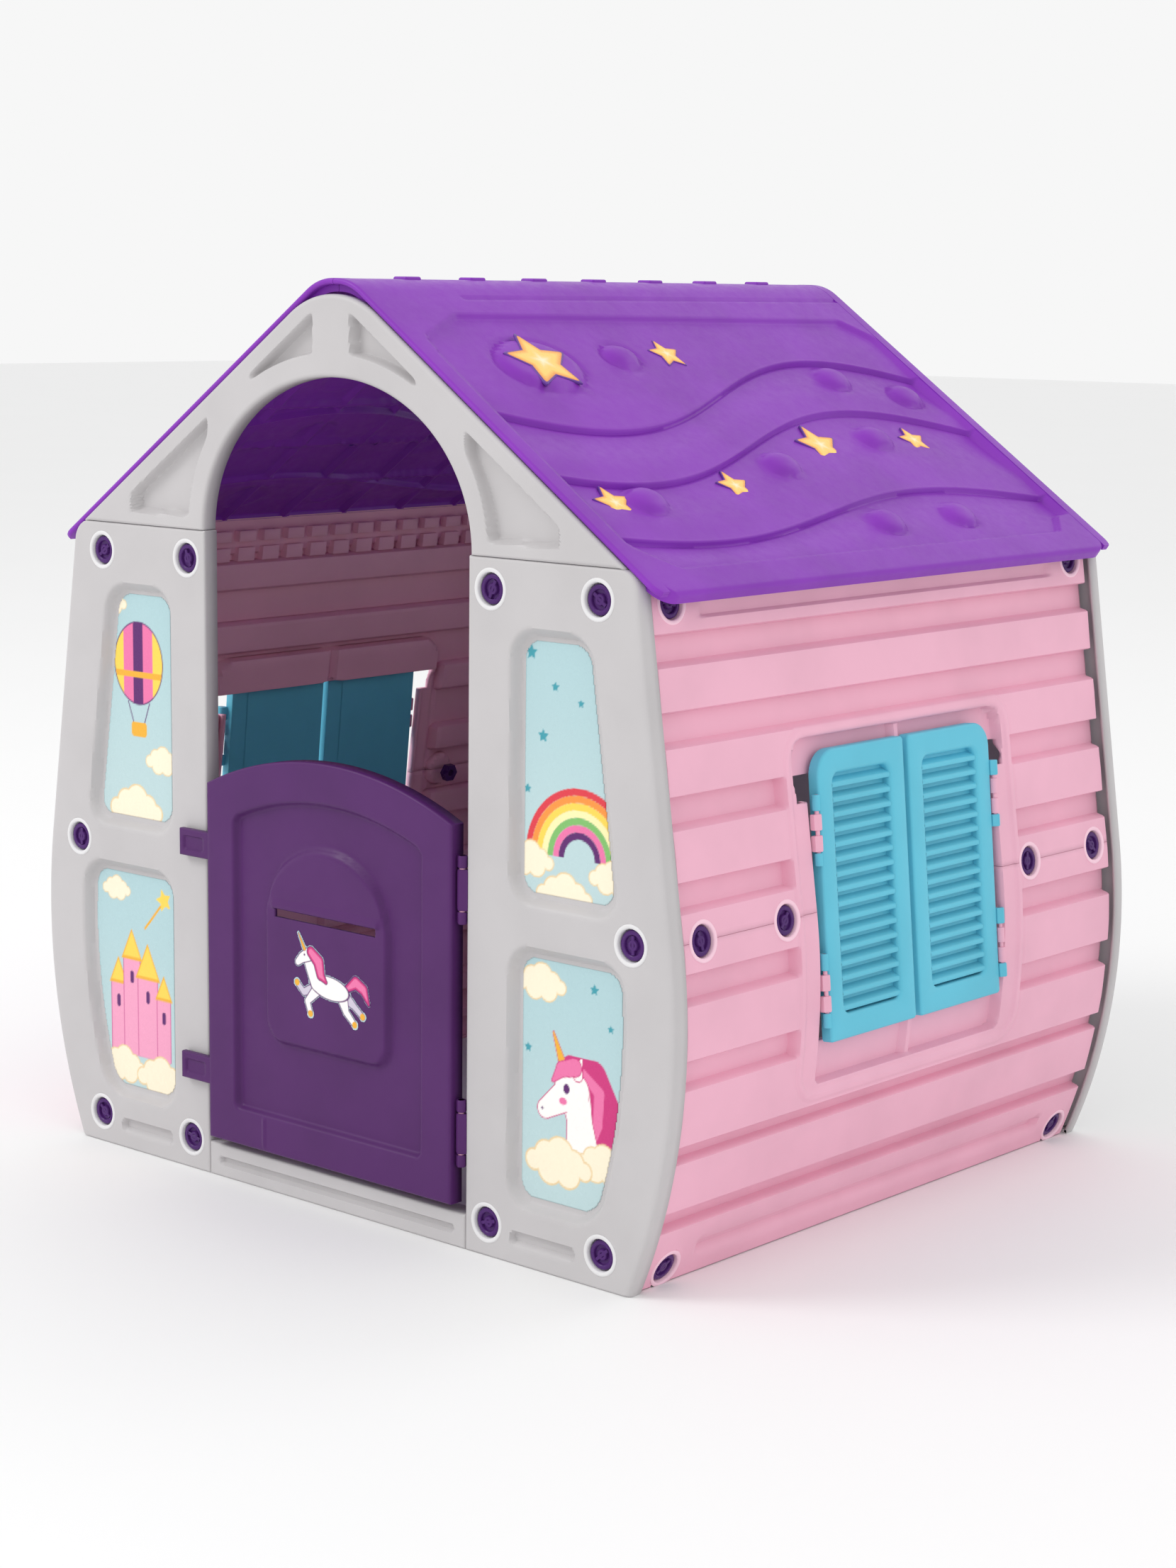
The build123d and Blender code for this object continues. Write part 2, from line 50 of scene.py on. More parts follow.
# Everything is drawn in millimetres, and makePiece turns it into metres.
# +X is to the right of someone facing the door, -Y points out of the door, and +Z is up.


def boxMm(node):
    # low and high corner of a CAD node, in millimetres
    low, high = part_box(node)
    return np.array(low) * 1000, np.array(high) * 1000


panelLow, panelHigh = boxMm("front_left_panel")
rearHigh = boxMm("rear_left_panel")[1]
roofHigh = boxMm("roof_right")[1]
wallHigh = boxMm("right_wall_upper")[1]
doorFront = boxMm("door")[0][1]
house = dict(
    front=panelLow[1],
    rear=rearHigh[1],
    halfWidth=-panelLow[0],
    doorHalf=-panelHigh[0],  # half of the doorway between the panels
    seam=panelHigh[2],  # where the gables stand on the panels
    bulgeHeight=290.0,  # height of the widest place
    bulgeRadius=731.0,
    leanFrom=394.0,  # the sides go on straight above this
    plateDepth=20.0,
)
hinges = {j["name"]: j for j in frame["joints"]}


def outlineX(z, inset=0.0):
    # half width of the end panels: an arc up to leanFrom, then its tangent line
    radius = house["bulgeRadius"] - inset
    centre = house["halfWidth"] - house["bulgeRadius"]
    lean = math.asin((house["leanFrom"] - house["bulgeHeight"]) / house["bulgeRadius"])
    z = np.asarray(z, float)
    rise = z - house["bulgeHeight"]
    onArc = centre + np.sqrt(np.maximum(radius**2 - rise**2, 0))
    onLine = centre + radius / math.cos(lean) - rise * math.tan(lean)
    return np.where(rise <= radius * math.sin(lean), onArc, onLine)


def smooth(low, high, x):
    # 0 below low, 1 above high, an S curve between
    t = np.clip((x - low) / (high - low), 0, 1)
    return t * t * (3 - 2 * t)


def roundBox(dx, dz, radius):
    # signed distance of a round-cornered box from the depths inside its sides, negative inside
    qx, qz = radius - dx, radius - dz
    outside = np.hypot(np.maximum(qx, 0), np.maximum(qz, 0))
    return outside + np.minimum(np.maximum(qx, qz), 0) - radius


def stops(low, high, coarse, breaks, fine=1.6, reach=6.0):
    # places along a line, coarse all over and fine within reach of each break
    places = [np.linspace(low, high, int(round((high - low) / coarse)) + 1)]
    for place in breaks:
        places.append(np.arange(place - reach, place + reach + 0.01, fine))
    merged = np.unique(np.round(np.concatenate(places), 2))
    merged = merged[(merged >= low) & (merged <= high)]
    keep = np.concatenate([[True], np.diff(merged) > fine * 0.45])
    merged = merged[keep]
    merged[-1] = high
    return merged


def gridFaces(rows, cols, keep=None, wrapRows=False, wrapCols=False):
    # quads between neighbours of a rows by cols grid of points
    index = np.arange(rows * cols).reshape(rows, cols)
    if wrapCols:
        index = np.hstack([index, index[:, :1]])
    if wrapRows:
        index = np.vstack([index, index[:1]])
    quads = np.stack([index[:-1, :-1], index[:-1, 1:], index[1:, 1:], index[1:, :-1]], -1)
    return quads[keep] if keep is not None else quads.reshape(-1, 4)


def sheetPart(points, keep=None, ink=None, wrapRows=False, wrapCols=False):
    # a part is a list of points and the quads between them, here from a grid of points
    rows, cols = points.shape[:2]
    quads = gridFaces(rows, cols, keep, wrapRows, wrapCols)
    part = dict(points=points.reshape(-1, 3), quads=quads.reshape(-1, 4))
    if ink is not None:
        part["ink"] = ink.reshape(-1, ink.shape[-1])
    return part


def flipPart(part):
    # the same faces, seen from their other side
    return dict(part, quads=part["quads"][:, ::-1])


def mirrorPart(part):
    # left twin of a right part
    return flipPart(dict(part, points=part["points"] * [-1, 1, 1]))


def turnPart(part):
    # rear twin of a front part, a half turn about the house's middle
    return dict(part, points=part["points"] * [-1, -1, 1])


def joinParts(parts):
    # several parts as one: later quads count on from the points before them
    start, points, quads, inks = 0, [], [], []
    for part in parts:
        points.append(part["points"])
        quads.append(part["quads"] + start)
        start += len(part["points"])
        if "ink" in part:
            inks.append(part["ink"])
    joined = dict(points=np.concatenate(points), quads=np.concatenate(quads))
    if len(inks) == len(parts):
        joined["ink"] = np.concatenate(inks)
    return joined


def makePiece(name, parts, material, body, replaces=(), thick=0.0, outward=None, sharp=38):
    # joined parts become a mesh on a body: doubles merged, faces turned outwards, edges past sharp degrees kept;
    # an open skin is turned by the sum of its face normals and gets its wall from Solidify
    part = joinParts(parts)
    points = np.asarray(part["points"], np.float32) * 0.001
    quads = np.asarray(part["quads"], np.int32)
    mesh = bpy.data.meshes.new(name)
    mesh.vertices.add(len(points))
    mesh.vertices.foreach_set("co", points.ravel())
    mesh.loops.add(quads.size)
    mesh.loops.foreach_set("vertex_index", quads.ravel())
    mesh.polygons.add(len(quads))
    mesh.polygons.foreach_set("loop_start", np.arange(0, quads.size, 4, dtype=np.int32))
    mesh.update(calc_edges=True)
    if "ink" in part:
        ink = mesh.color_attributes.new("ink", "FLOAT_COLOR", "POINT")
        rgba = np.ones((len(points), 4), np.float32)
        rgba[:, :3] = part["ink"][:, :3]
        ink.data.foreach_set("color", rgba.ravel())
    work = bmesh.new()
    work.from_mesh(mesh)
    bmesh.ops.remove_doubles(work, verts=work.verts, dist=0.00002)
    bmesh.ops.dissolve_degenerate(work, edges=work.edges, dist=0.000005)
    if outward is None:
        bmesh.ops.recalc_face_normals(work, faces=work.faces)
    else:
        total = Vector()
        for face in work.faces:
            total += face.normal * face.calc_area()
        if total.dot(Vector(outward)) < 0:
            bmesh.ops.reverse_faces(work, faces=work.faces)
    work.to_mesh(mesh)
    work.free()
    mesh.shade_smooth()
    mesh.set_sharp_from_angle(angle=math.radians(sharp))
    piece = bpy.data.objects.new(name, mesh)
    bpy.context.scene.collection.objects.link(piece)
    mesh.materials.append(material)
    if thick:
        wall = piece.modifiers.new("wall", "SOLIDIFY")
        wall.thickness = thick * 0.001
        wall.offset = -1
        wall.use_even_offset = False
    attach(piece, body)
    if replaces:
        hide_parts(*replaces)
    return piece


def lathePart(profile, origin, out, side, turns=40):
    # a profile of (radius, height) turned about the line through origin along out
    profile = np.asarray(profile, float)
    angle = np.arange(turns) * 2 * math.pi / turns
    origin, out, side = (np.asarray(v, float) for v in (origin, out, side))
    other = np.cross(out, side)
    ring = np.cos(angle)[:, None] * side + np.sin(angle)[:, None] * other
    points = origin + profile[:, :1, None] * ring[None] + profile[:, 1:, None] * out
    return sheetPart(points, wrapCols=True)


def screenColour(r, g, b):
    # screen colour 0..255 to a linear one
    c = np.array([r, g, b]) / 255.0
    linear = np.where(c <= 0.04045, c / 12.92, ((c + 0.055) / 1.055) ** 2.4)
    return tuple(float(v) for v in linear) + (1.0,)


def addNode(tree, kind, **values):
    # a shader node; a value is one of its settings, or else the input of that name
    node = tree.nodes.new(kind)
    for key, value in values.items():
        if hasattr(node, key):
            setattr(node, key, value)
        else:
            node.inputs[key.replace("_", " ")].default_value = value
    return node


moulded = dict(
    grainScale=900.0, grainBump=0.04,
    waveScale=9.0, waveBump=0.10,
    scuffScale=70.0, smoother=0.05, rougher=0.10,  # roughness from clean to scuffed places
    specular=0.2,
)


def mouldedPlastic(name, colour, roughness, shade, ink=False, grain=1.0):
    # satin moulded plastic: slow colour mottling, fine grain and slow waves in the bump, scuffs in the gloss;
    # with ink the colour is the mesh's own, point by point
    material = bpy.data.materials.new(name)
    material.use_nodes = True
    tree = material.node_tree
    shader = tree.nodes["Principled BSDF"]
    link = tree.links.new
    place = addNode(tree, "ShaderNodeTexCoord")
    slow = addNode(tree, "ShaderNodeTexNoise", Scale=moulded["waveScale"], Detail=3.0)
    fine = addNode(tree, "ShaderNodeTexNoise", Scale=moulded["grainScale"], Detail=2.0)
    scuff = addNode(tree, "ShaderNodeTexNoise", Scale=moulded["scuffScale"], Detail=6.0, Roughness=0.7)
    for noise in (slow, fine, scuff):
        link(place.outputs["Object"], noise.inputs["Vector"])
    low = tuple(c * shade for c in colour[:3]) + (1.0,)
    mix = addNode(tree, "ShaderNodeMix", data_type="RGBA")
    mix.inputs[6].default_value = low
    mix.inputs[7].default_value = colour
    if ink:
        paint = addNode(tree, "ShaderNodeAttribute", attribute_name="ink")
        darker = addNode(tree, "ShaderNodeMix", data_type="RGBA", blend_type="MULTIPLY")
        darker.inputs[0].default_value = 1.0
        darker.inputs[7].default_value = (shade, shade, shade, 1.0)
        link(paint.outputs["Color"], darker.inputs[6])
        link(darker.outputs[2], mix.inputs[6])
        link(paint.outputs["Color"], mix.inputs[7])
    spread = addNode(tree, "ShaderNodeMapRange", From_Min=0.3, From_Max=0.62)
    link(slow.outputs["Fac"], spread.inputs["Value"])
    link(spread.outputs["Result"], mix.inputs[0])
    link(mix.outputs[2], shader.inputs["Base Color"])
    gloss = addNode(tree, "ShaderNodeMapRange", From_Min=0.35, From_Max=0.7)
    gloss.inputs["To Min"].default_value = roughness - moulded["smoother"]
    gloss.inputs["To Max"].default_value = roughness + moulded["rougher"]
    link(scuff.outputs["Fac"], gloss.inputs["Value"])
    link(gloss.outputs["Result"], shader.inputs["Roughness"])
    waves = addNode(tree, "ShaderNodeBump", Strength=moulded["waveBump"], Distance=0.004)
    grains = addNode(tree, "ShaderNodeBump", Strength=moulded["grainBump"] * grain, Distance=0.0006)
    link(slow.outputs["Fac"], waves.inputs["Height"])
    link(fine.outputs["Fac"], grains.inputs["Height"])
    link(waves.outputs["Normal"], grains.inputs["Normal"])
    link(grains.outputs["Normal"], shader.inputs["Normal"])
    shader.inputs["Specular IOR Level"].default_value = moulded["specular"]
    return material


finishes = dict(
    white=mouldedPlastic("greyWhitePlastic", screenColour(196, 193, 194), 0.42, 0.95),
    pink=mouldedPlastic("pinkPlastic", screenColour(240, 182, 203), 0.42, 0.93),
    roof=mouldedPlastic("violetPlastic", screenColour(138, 56, 184), 0.36, 0.88),
    door=mouldedPlastic("plumPlastic", screenColour(84, 40, 101), 0.38, 0.88),
    blue=mouldedPlastic("skyPlastic", screenColour(102, 197, 221), 0.36, 0.93),
    bolt=mouldedPlastic("boltPlastic", screenColour(78, 38, 108), 0.28, 0.85),
    sheet=mouldedPlastic("printedFilm", screenColour(186, 216, 220), 0.26, 0.99, ink=True, grain=0.3),
    # the two ring finishes are the panel white and pink painted lighter: a painted highlight on the raised collars
    # round the bolts
    whiteRing=mouldedPlastic("paleRing", screenColour(226, 225, 226), 0.40, 0.97),
    pinkRing=mouldedPlastic("palePinkRing", screenColour(250, 208, 224), 0.40, 0.96),
)
print("materials ready")


def skirt(radius, depth, count=5):
    # a quarter circle of count steps and a straight way back: distances in from the edge and behind the face
    angle = np.linspace(0, math.pi / 2, count)
    inset = np.append(radius * (1 - np.sin(angle)), 0)
    back = np.append(radius * (1 - np.cos(angle)), depth)
    return inset, back


def rolled(count, radius, depth):
    # places across a plate, level in the middle and rolled over and back at both ends: share of its width,
    # distance in from the edge, distance behind the face
    inset, back = skirt(radius, depth)
    share = np.concatenate([np.zeros(len(inset)), np.linspace(0, 1, count), np.ones(len(inset))])
    insets = np.concatenate([inset[::-1], np.full(count, radius), inset])
    backs = np.concatenate([back[::-1], np.zeros(count), back])
    return share, insets, backs


def platePart(xLow, xHigh, zs, cols, radius, depth, sink):
    # height field in the front plane: columns run from xLow(z) to xHigh(z), edges roll over and back,
    # and sink(x, z) is the depth of its face
    inset, back = skirt(radius, depth)
    side, colInset, colBack = rolled(cols, radius, depth)
    low, high = zs[0], zs[-1]
    inner = zs[(zs > low + radius) & (zs < high - radius)]
    rowZ = np.concatenate([low + inset[::-1], inner, high - inset])
    rowBack = np.concatenate([back[::-1], np.zeros(len(inner)), back])
    left, right = xLow(rowZ)[:, None], xHigh(rowZ)[:, None]
    x = (1 - side) * (left + colInset) + side * (right - colInset)
    z = np.repeat(rowZ[:, None], x.shape[1], 1)
    behind = np.maximum(colBack[None], rowBack[:, None])
    y = behind + np.where(behind < 0.01, sink(x, z), 0)
    return np.stack([x, y, z], -1)


boltShape = dict(headRadius=17.0, holeRadius=18.4, collarRadius=23.5, sunk=2.5, holeDepth=8.5)
endBolts = dict(innerX=249.0, inset=57.0, heights=(39.0, 390.0, 755.0))
wallBolts = dict(setback=59.0, heights=(20.0, 394.0, 752.0), middleY=244.0, openBelow=5.5)


def endBoltPlaces():
    # (x, z) of the bolts in the right half of an end: three down the outer edge, two beside the door
    outer = [(float(outlineX(z)) - endBolts["inset"], z) for z in endBolts["heights"]]
    return outer + [(endBolts["innerX"], endBolts["heights"][0]), (endBolts["innerX"], endBolts["heights"][2])]


def wallBoltPlaces():
    # (y, z) of the bolts in a side wall: its corners, and two beside the window at mid height
    corner = house["rear"] - wallBolts["setback"]
    places = [(side * corner, z) for z in wallBolts["heights"] for side in (-1, 1)]
    return places + [(side * wallBolts["middleY"], wallBolts["heights"][1]) for side in (-1, 1)]


def boltHollow(distance):
    # round counterbore as a depth
    return boltShape["holeDepth"] * (1 - smooth(boltShape["holeRadius"], boltShape["holeRadius"] + 2.6, distance))


def collarPart(origin, out, side):
    # low rounded ring round a counterbore, with its wall going down inside
    b = boltShape
    profile = [(b["collarRadius"], -1.2), (b["collarRadius"], 0.1), (b["collarRadius"] - 0.7, 0.8),
               (b["collarRadius"] - 1.8, 1.0), (b["holeRadius"] + 1.4, 0.7), (b["holeRadius"] + 0.4, 0.0),
               (b["holeRadius"], -1.0), (b["holeRadius"] - 0.1, -b["holeDepth"])]
    return lathePart(profile, origin, out, side)


def boltPart(origin, out, side):
    # dished round head: raised rim, sunk ring, and a hub
    r, s = boltShape["headRadius"], -boltShape["sunk"]
    profile = [(r, -9.0), (r, s - 1.8), (r - 0.6, s - 0.6), (r - 1.8, s), (r - 4.6, s + 0.1), (r - 5.6, s - 0.7),
               (r - 6.2, s - 3.4), (6.9, s - 3.8), (6.3, s - 1.2), (5.6, s - 0.4), (3.2, s - 0.3),
               (2.4, s - 1.2), (2.2, s - 4.5), (0.01, s - 4.6)]
    return lathePart(profile, origin, out, side)


def crossBarPart(origin, out, side, angle):
    # rounded bar across the head's sunk ring, for a key
    out, side = np.asarray(out, float), np.asarray(side, float)
    other = np.cross(out, side)
    along = math.cos(angle) * side + math.sin(angle) * other
    across = np.cross(out, along)
    u = np.linspace(-10.6, 10.6, 9)
    w = np.array([-2.3, -2.1, -1.5, 1.5, 2.1, 2.3])
    h = np.array([-7.0, -3.5, -2.9, -2.9, -3.5, -7.0])
    points = (np.asarray(origin, float) + u[:, None, None] * along + w[None, :, None] * across
              + h[None, :, None] * out)
    return sheetPart(points)


def boltSet(places, angleStep):
    # rings and heads at places, each cross bar turned a little more than the last
    rings, heads = [], []
    for i, (origin, out, side) in enumerate(places):
        rings.append(collarPart(origin, out, side))
        heads.append(boltPart(origin, out, side))
        heads.append(crossBarPart(origin, out, side, 0.7 + angleStep * i))
    return rings, heads


field = dict(inner=279.0, border=70.0, depth=12.0, radius=34.0, upper=(412.0, 716.0), lower=(66.0, 366.0),
             slope=9.0, lip=2.0)
panel = dict(edge=8.0, cornerRound=28.0, slotDepth=7.0, slotHalf=8.0, slotGap=5.0, step=3.25,
             skin=4.5)


def fieldDistance(x, z, heights):
    # signed distance to a recessed field, negative inside
    dx = np.minimum(x - field["inner"], outlineX(z, field["border"]) - x)
    dz = np.minimum(z - heights[0], heights[1] - z)
    return roundBox(dx, dz, field["radius"])


def panelSink(x, z):
    # depth of the panel's face: two sloping fields, the bolt hollows, and a groove between the lowest bolts
    depth = np.zeros_like(x)
    for heights in (field["upper"], field["lower"]):
        inside = fieldDistance(x, z, heights)
        depth += field["depth"] * (1 - smooth(-field["slope"], field["lip"], inside))
    for boltX, boltZ in endBoltPlaces():
        depth = np.maximum(depth, boltHollow(np.hypot(x - boltX, z - boltZ)))
    slotZ = endBolts["heights"][0] - 9
    low, high = field["inner"] + panel["slotGap"] + 8, float(outlineX(slotZ)) - endBolts["inset"] - 42
    reach = np.hypot(np.maximum(np.maximum(low - x, x - high), 0), z - slotZ)
    return depth + panel["slotDepth"] * (1 - smooth(panel["slotHalf"] - 3, panel["slotHalf"], reach))


def panelTop(z):
    # the outline, rolled over at its top outer corner
    r = panel["cornerRound"]
    centre = outlineX(house["seam"] - r) - r
    rise = np.clip(z - (house["seam"] - r), 0, r)
    rolled = centre + np.sqrt(np.maximum(r * r - rise * rise, 0))
    return np.where(z > house["seam"] - r, np.minimum(rolled, outlineX(z)), outlineX(z))


def lowerPanelPart():
    # front right panel: plate from the doorway to the rolled outline, from the ground to the seam
    low, high = 0.0, house["seam"] - 0.3
    near = high - np.array([1.2, 3, 6])
    zs = np.unique(np.concatenate([np.linspace(low, high, int(high / panel["step"])), near]))
    cols = int((house["halfWidth"] - house["doorHalf"]) / panel["step"])
    points = platePart(lambda z: np.full_like(z, house["doorHalf"]), panelTop, zs, cols,
                       3.0, house["plateDepth"], panelSink)
    points[..., 1] += house["front"] + outerRoll(points)
    return sheetPart(points)


def outerRoll(points):
    # wider rounding along the outer edge than along the jamb
    x, z = points[..., 0], points[..., 2]
    away = np.clip(panelTop(z) - x, 0, panel["edge"])
    roll = panel["edge"] - np.sqrt(np.maximum(panel["edge"] ** 2 - (panel["edge"] - away) ** 2, 0))
    return np.where(points[..., 1] < house["plateDepth"] - 6, roll * 0.8, 0)


def makeEndPanels():
    # one panel, mirrored to the left and both turned to the rear
    right = lowerPanelPart()
    pieces = dict(front_right_panel=right, front_left_panel=mirrorPart(right))
    pieces["rear_left_panel"] = turnPart(pieces["front_right_panel"])
    pieces["rear_right_panel"] = turnPart(pieces["front_left_panel"])
    for name, part in pieces.items():
        outward = (0, -1 if name.startswith("front") else 1, 0)
        makePiece(name + "_skin", [part], finishes["white"], "house", (name,), panel["skin"], outward)
    print("end panels made")


gable = dict(drop=8.0, apexRound=120.0, slopeBorder=21.0, archBorder=28.0, web=31.0, strutLow=134.0,
             strutHigh=210.0, fieldEnd=346.0, fieldFoot=16.0, depth=14.0, archExtra=2.0, underRidge=19.0,
             band=92.0, edge=5.0, behindRoof=13.0, across=66, steps=301)


roof = dict(
    ridgeHalf=26.0, eave=766.0, half=436.0, rim=7.0, cornerRound=26.0, bend=22.0, thick=15.0, skin=3.0,
    pocket=5.5, bayS=92.0, bayY=108.0, web=3.5,  # pockets between the ribs of the underside
    rib=36.0, ribFrom=-292.0, ribTo=432.0,
    top=79.0, foot=523.0, frontLine=-418.0, rearLine=425.0,  # edges of the recessed field, and its corners:
    topEdge=((-425.0, 177.0), (-411.0, 107.0), (-330.0, 67.0), (385.0, 79.0), (419.0, 113.0)),
    footEdge=((-420.0, 479.0), (-372.0, 523.0), (367.0, 523.0), (398.0, 493.0)),
    step=6.5, line=1.8, sunk=5.4,
    lensY=28.0, lensS=22.0, lensHigh=10.5, bigY=64.0, bigS=47.0, bigHigh=8.0, bigStar=56.0, moat=8.0,
    bumps=7, bumpHigh=3.0,
    cols=204, rows=(50, 28, 32, 36, 18, 30),  # rows between ridge, field, the three creases, field's foot and eave
)
# wave creases: middle distance down the slope, swing, shift along the ridge, length of a wave
creases = ((219.0, 61.0, 0.0, 930.0), (318.0, 57.0, 40.0, 950.0), (448.0, 31.0, 30.0, 890.0))
# small lens-shaped bumps, and the big flat one under the biggest star: along the ridge, down the slope
lenses = ((-112, 145), (252, 197), (364, 237), (209, 317), (-20, 357), (-311, 405), (63, 471), (213, 470))
bigOval = (-267.0, 159.0)
# stars: along the ridge, down the slope, radius
stars = ((-25, 142, 30), (-362, 402, 32), (-136, 386, 30), (94, 322, 42), (289, 322, 28))


def roofLine():
    # the roof's slope from its box: pitch and length down from the bend
    ridgeHalf, eaveX, eaveZ = roof["ridgeHalf"], roofHigh[0], roof["eave"]
    ridge = roofHigh[2] - roof["bumpHigh"]
    pitch = math.atan2(ridge - eaveZ, eaveX - ridgeHalf)
    return dict(pitch=pitch, ridge=ridge, ridgeHalf=ridgeHalf, run=(eaveX - ridgeHalf) / math.cos(pitch),
                peak=ridge + ridgeHalf * math.tan(pitch))


roofShape = roofLine()
archRise = roofShape["ridge"] - gable["underRidge"] - gable["band"] - house["seam"]
archHalf = house["doorHalf"] + gable["archExtra"]


def gablePeak():
    # height where the gable's two slopes would meet, a little below the roof's own
    return roofShape["peak"] - gable["drop"] / math.cos(roofShape["pitch"])


def gableReach(angle):
    # distance from the arch's centre to the gable's outline along a direction: the side, the slope, or the
    # circle that touches both slopes under the peak
    tanP, cosP = math.tan(roofShape["pitch"]), math.cos(roofShape["pitch"])
    r = gable["apexRound"]
    centreZ = gablePeak() - r / cosP - house["seam"]
    c, s = np.abs(np.cos(angle)), np.sin(angle)
    slope = (gablePeak() - house["seam"]) / (s + c * tanP)
    arc = centreZ * s + np.sqrt(np.maximum(r * r - (centreZ * c) ** 2, 0))
    touch = r * math.sin(roofShape["pitch"])
    side = (outlineX(house["seam"]) - panel["cornerRound"] / 2) / np.maximum(c, 1e-6)
    return np.minimum(np.where(slope * c < touch, arc, slope), side)


def archReach(angle):
    # distance from the arch's centre to its half ellipse
    return archHalf * archRise / np.hypot(archRise * np.cos(angle), archHalf * np.sin(angle))


def smoothMax(parts, soft):
    # largest of several distances, with rounded corners
    stack = np.stack(parts)
    top = stack.max(0)
    return top + soft * np.log(np.exp((stack - top) / soft).sum(0))


def gableSink(x, z):
    # depth of the gable's face: two fields on each side, bounded by the slope, the arch, the foot and the struts
    ax = np.abs(x)
    line = (gablePeak() - z - ax * math.tan(roofShape["pitch"])) * math.cos(roofShape["pitch"])
    a, b = archHalf + gable["archBorder"], archRise + gable["archBorder"]
    ring = np.hypot(ax / a, (z - house["seam"]) / b)
    arch = (1 - ring) * min(a, b)
    foot = house["seam"] + gable["fieldFoot"] - z
    upper = smoothMax([gable["slopeBorder"] - line, arch, foot, gable["web"] - ax, ax - gable["strutLow"]], 2.0)
    lower = smoothMax([gable["slopeBorder"] - line, arch, foot, gable["strutHigh"] - ax,
                       ax - gable["fieldEnd"]], 2.0)
    inside = np.minimum(upper, lower)
    return gable["depth"] * (1 - smooth(-3.6, 1.4, inside))


def gablePart():
    # polar grid between the arch and the outline, edges rolled over and back
    side, edge, behind = rolled(gable["across"], gable["edge"], house["plateDepth"])
    angle = np.linspace(0, math.pi, gable["steps"])[:, None]
    low, high = archReach(angle), gableReach(angle)
    reach = (1 - side) * (low + edge) + side * (high - edge)
    x = reach * np.cos(angle)
    z = house["seam"] + reach * np.sin(angle) + 0.3
    depth = np.repeat(behind[None], len(angle), 0)
    depth = depth + np.where(depth < 0.01, gableSink(x, z), 0)
    # the outer rim stops short of the roof that lies behind it
    outer = (side > 0.99) & (behind > 6)
    depth[:, outer] = np.minimum(depth[:, outer], gable["behindRoof"])
    return sheetPart(np.stack([x, house["front"] + depth, z], -1))


def makeGables():
    # front gable, and the same one turned to the rear
    part = gablePart()
    makePiece("front_gable_skin", [part], finishes["white"], "house", ("front_gable",),
              panel["skin"], (0, -1, 0))
    makePiece("rear_gable_skin", [turnPart(part)], finishes["white"], "house", ("rear_gable",),
              panel["skin"], (0, 1, 0))
    print("gables made")


sill = dict(top=41.0, groove=9.0, end=18.0, depth=6.0, gap=0.5)


def sillSink(x, z):
    # one long groove with round ends at mid height
    low, high = -house["doorHalf"] + sill["end"] + 5, house["doorHalf"] - sill["end"] - 5
    reach = np.hypot(np.maximum(np.maximum(low - x, x - high), 0), z - sill["top"] / 2)
    return sill["depth"] * (1 - smooth(sill["groove"] / 2 - 2, sill["groove"] / 2 + 1, reach))


def makeSill():
    # low plate across the doorway
    half = house["doorHalf"] - sill["gap"]
    points = platePart(lambda z: np.full_like(z, -half), lambda z: np.full_like(z, half),
                       np.linspace(0, sill["top"], 26), 170, 3.0, house["plateDepth"] + 6, sillSink)
    points[..., 1] += house["front"]
    makePiece("door_sill_skin", [sheetPart(points)], finishes["white"], "house", ("door_sill",), 4.0,
              (0, -1, 0))
    print("sill made")


infill = dict(sideTop=490.0, top=535.0, border=46.0, depth=8.0, setback=2.0, fieldLow=82.0, fieldRound=14.0)


def archedTop(x, half, sideTop, top):
    # height of an arc through both side tops and the middle top
    rise = top - sideTop
    radius = (half * half + rise * rise) / (2 * rise)
    return top - radius + np.sqrt(np.maximum(radius**2 - x * x, 0))


def archedPart(half, low, sideTop, top, cols, rows, radius, depth, sink):
    # like platePart, with rows squeezed under an arched top
    share, rowInset, rowBack = rolled(rows, radius, depth)
    side, colInset, colBack = rolled(cols, radius, depth)
    x = (1 - side) * (-half + colInset) + side * (half - colInset)
    x = np.repeat(x[None], len(share), 0)
    ceiling = archedTop(x, half, sideTop, top)
    t, e = share[:, None], rowInset[:, None]
    z = (1 - t) * (low + e) + t * (ceiling - e)
    behind = np.maximum(colBack[None], rowBack[:, None])
    y = behind + np.where(behind < 0.01, sink(x, z), 0)
    return np.stack([x, y, z], -1)


def archedDistance(x, z, half, low, sideTop, top, radius):
    # signed distance to a round-cornered field under an arched top, negative inside
    dx = half - np.abs(x)
    dz = np.minimum(z - low, archedTop(np.clip(x, -half, half), half, sideTop, top) - z)
    return roundBox(dx, dz, radius)


def makeInfill():
    # low wall with an arched top in the rear doorway, one bordered field in its face
    half = house["doorHalf"] - sill["gap"]
    border = infill["border"]

    def sink(x, z):
        inside = archedDistance(x, z, half - border, infill["fieldLow"], infill["sideTop"] - border,
                                infill["top"] - border, infill["fieldRound"])
        return infill["depth"] * (1 - smooth(-5, 1.5, inside))

    points = archedPart(half, 0.0, infill["sideTop"], infill["top"], 130, 160, 4.0, house["plateDepth"], sink)
    points[..., 1] += house["front"] + infill["setback"]
    makePiece("rear_infill_skin", [turnPart(sheetPart(points))], finishes["white"], "house",
              ("rear_infill",), 4.0, (0, 1, 0))
    print("rear infill made")


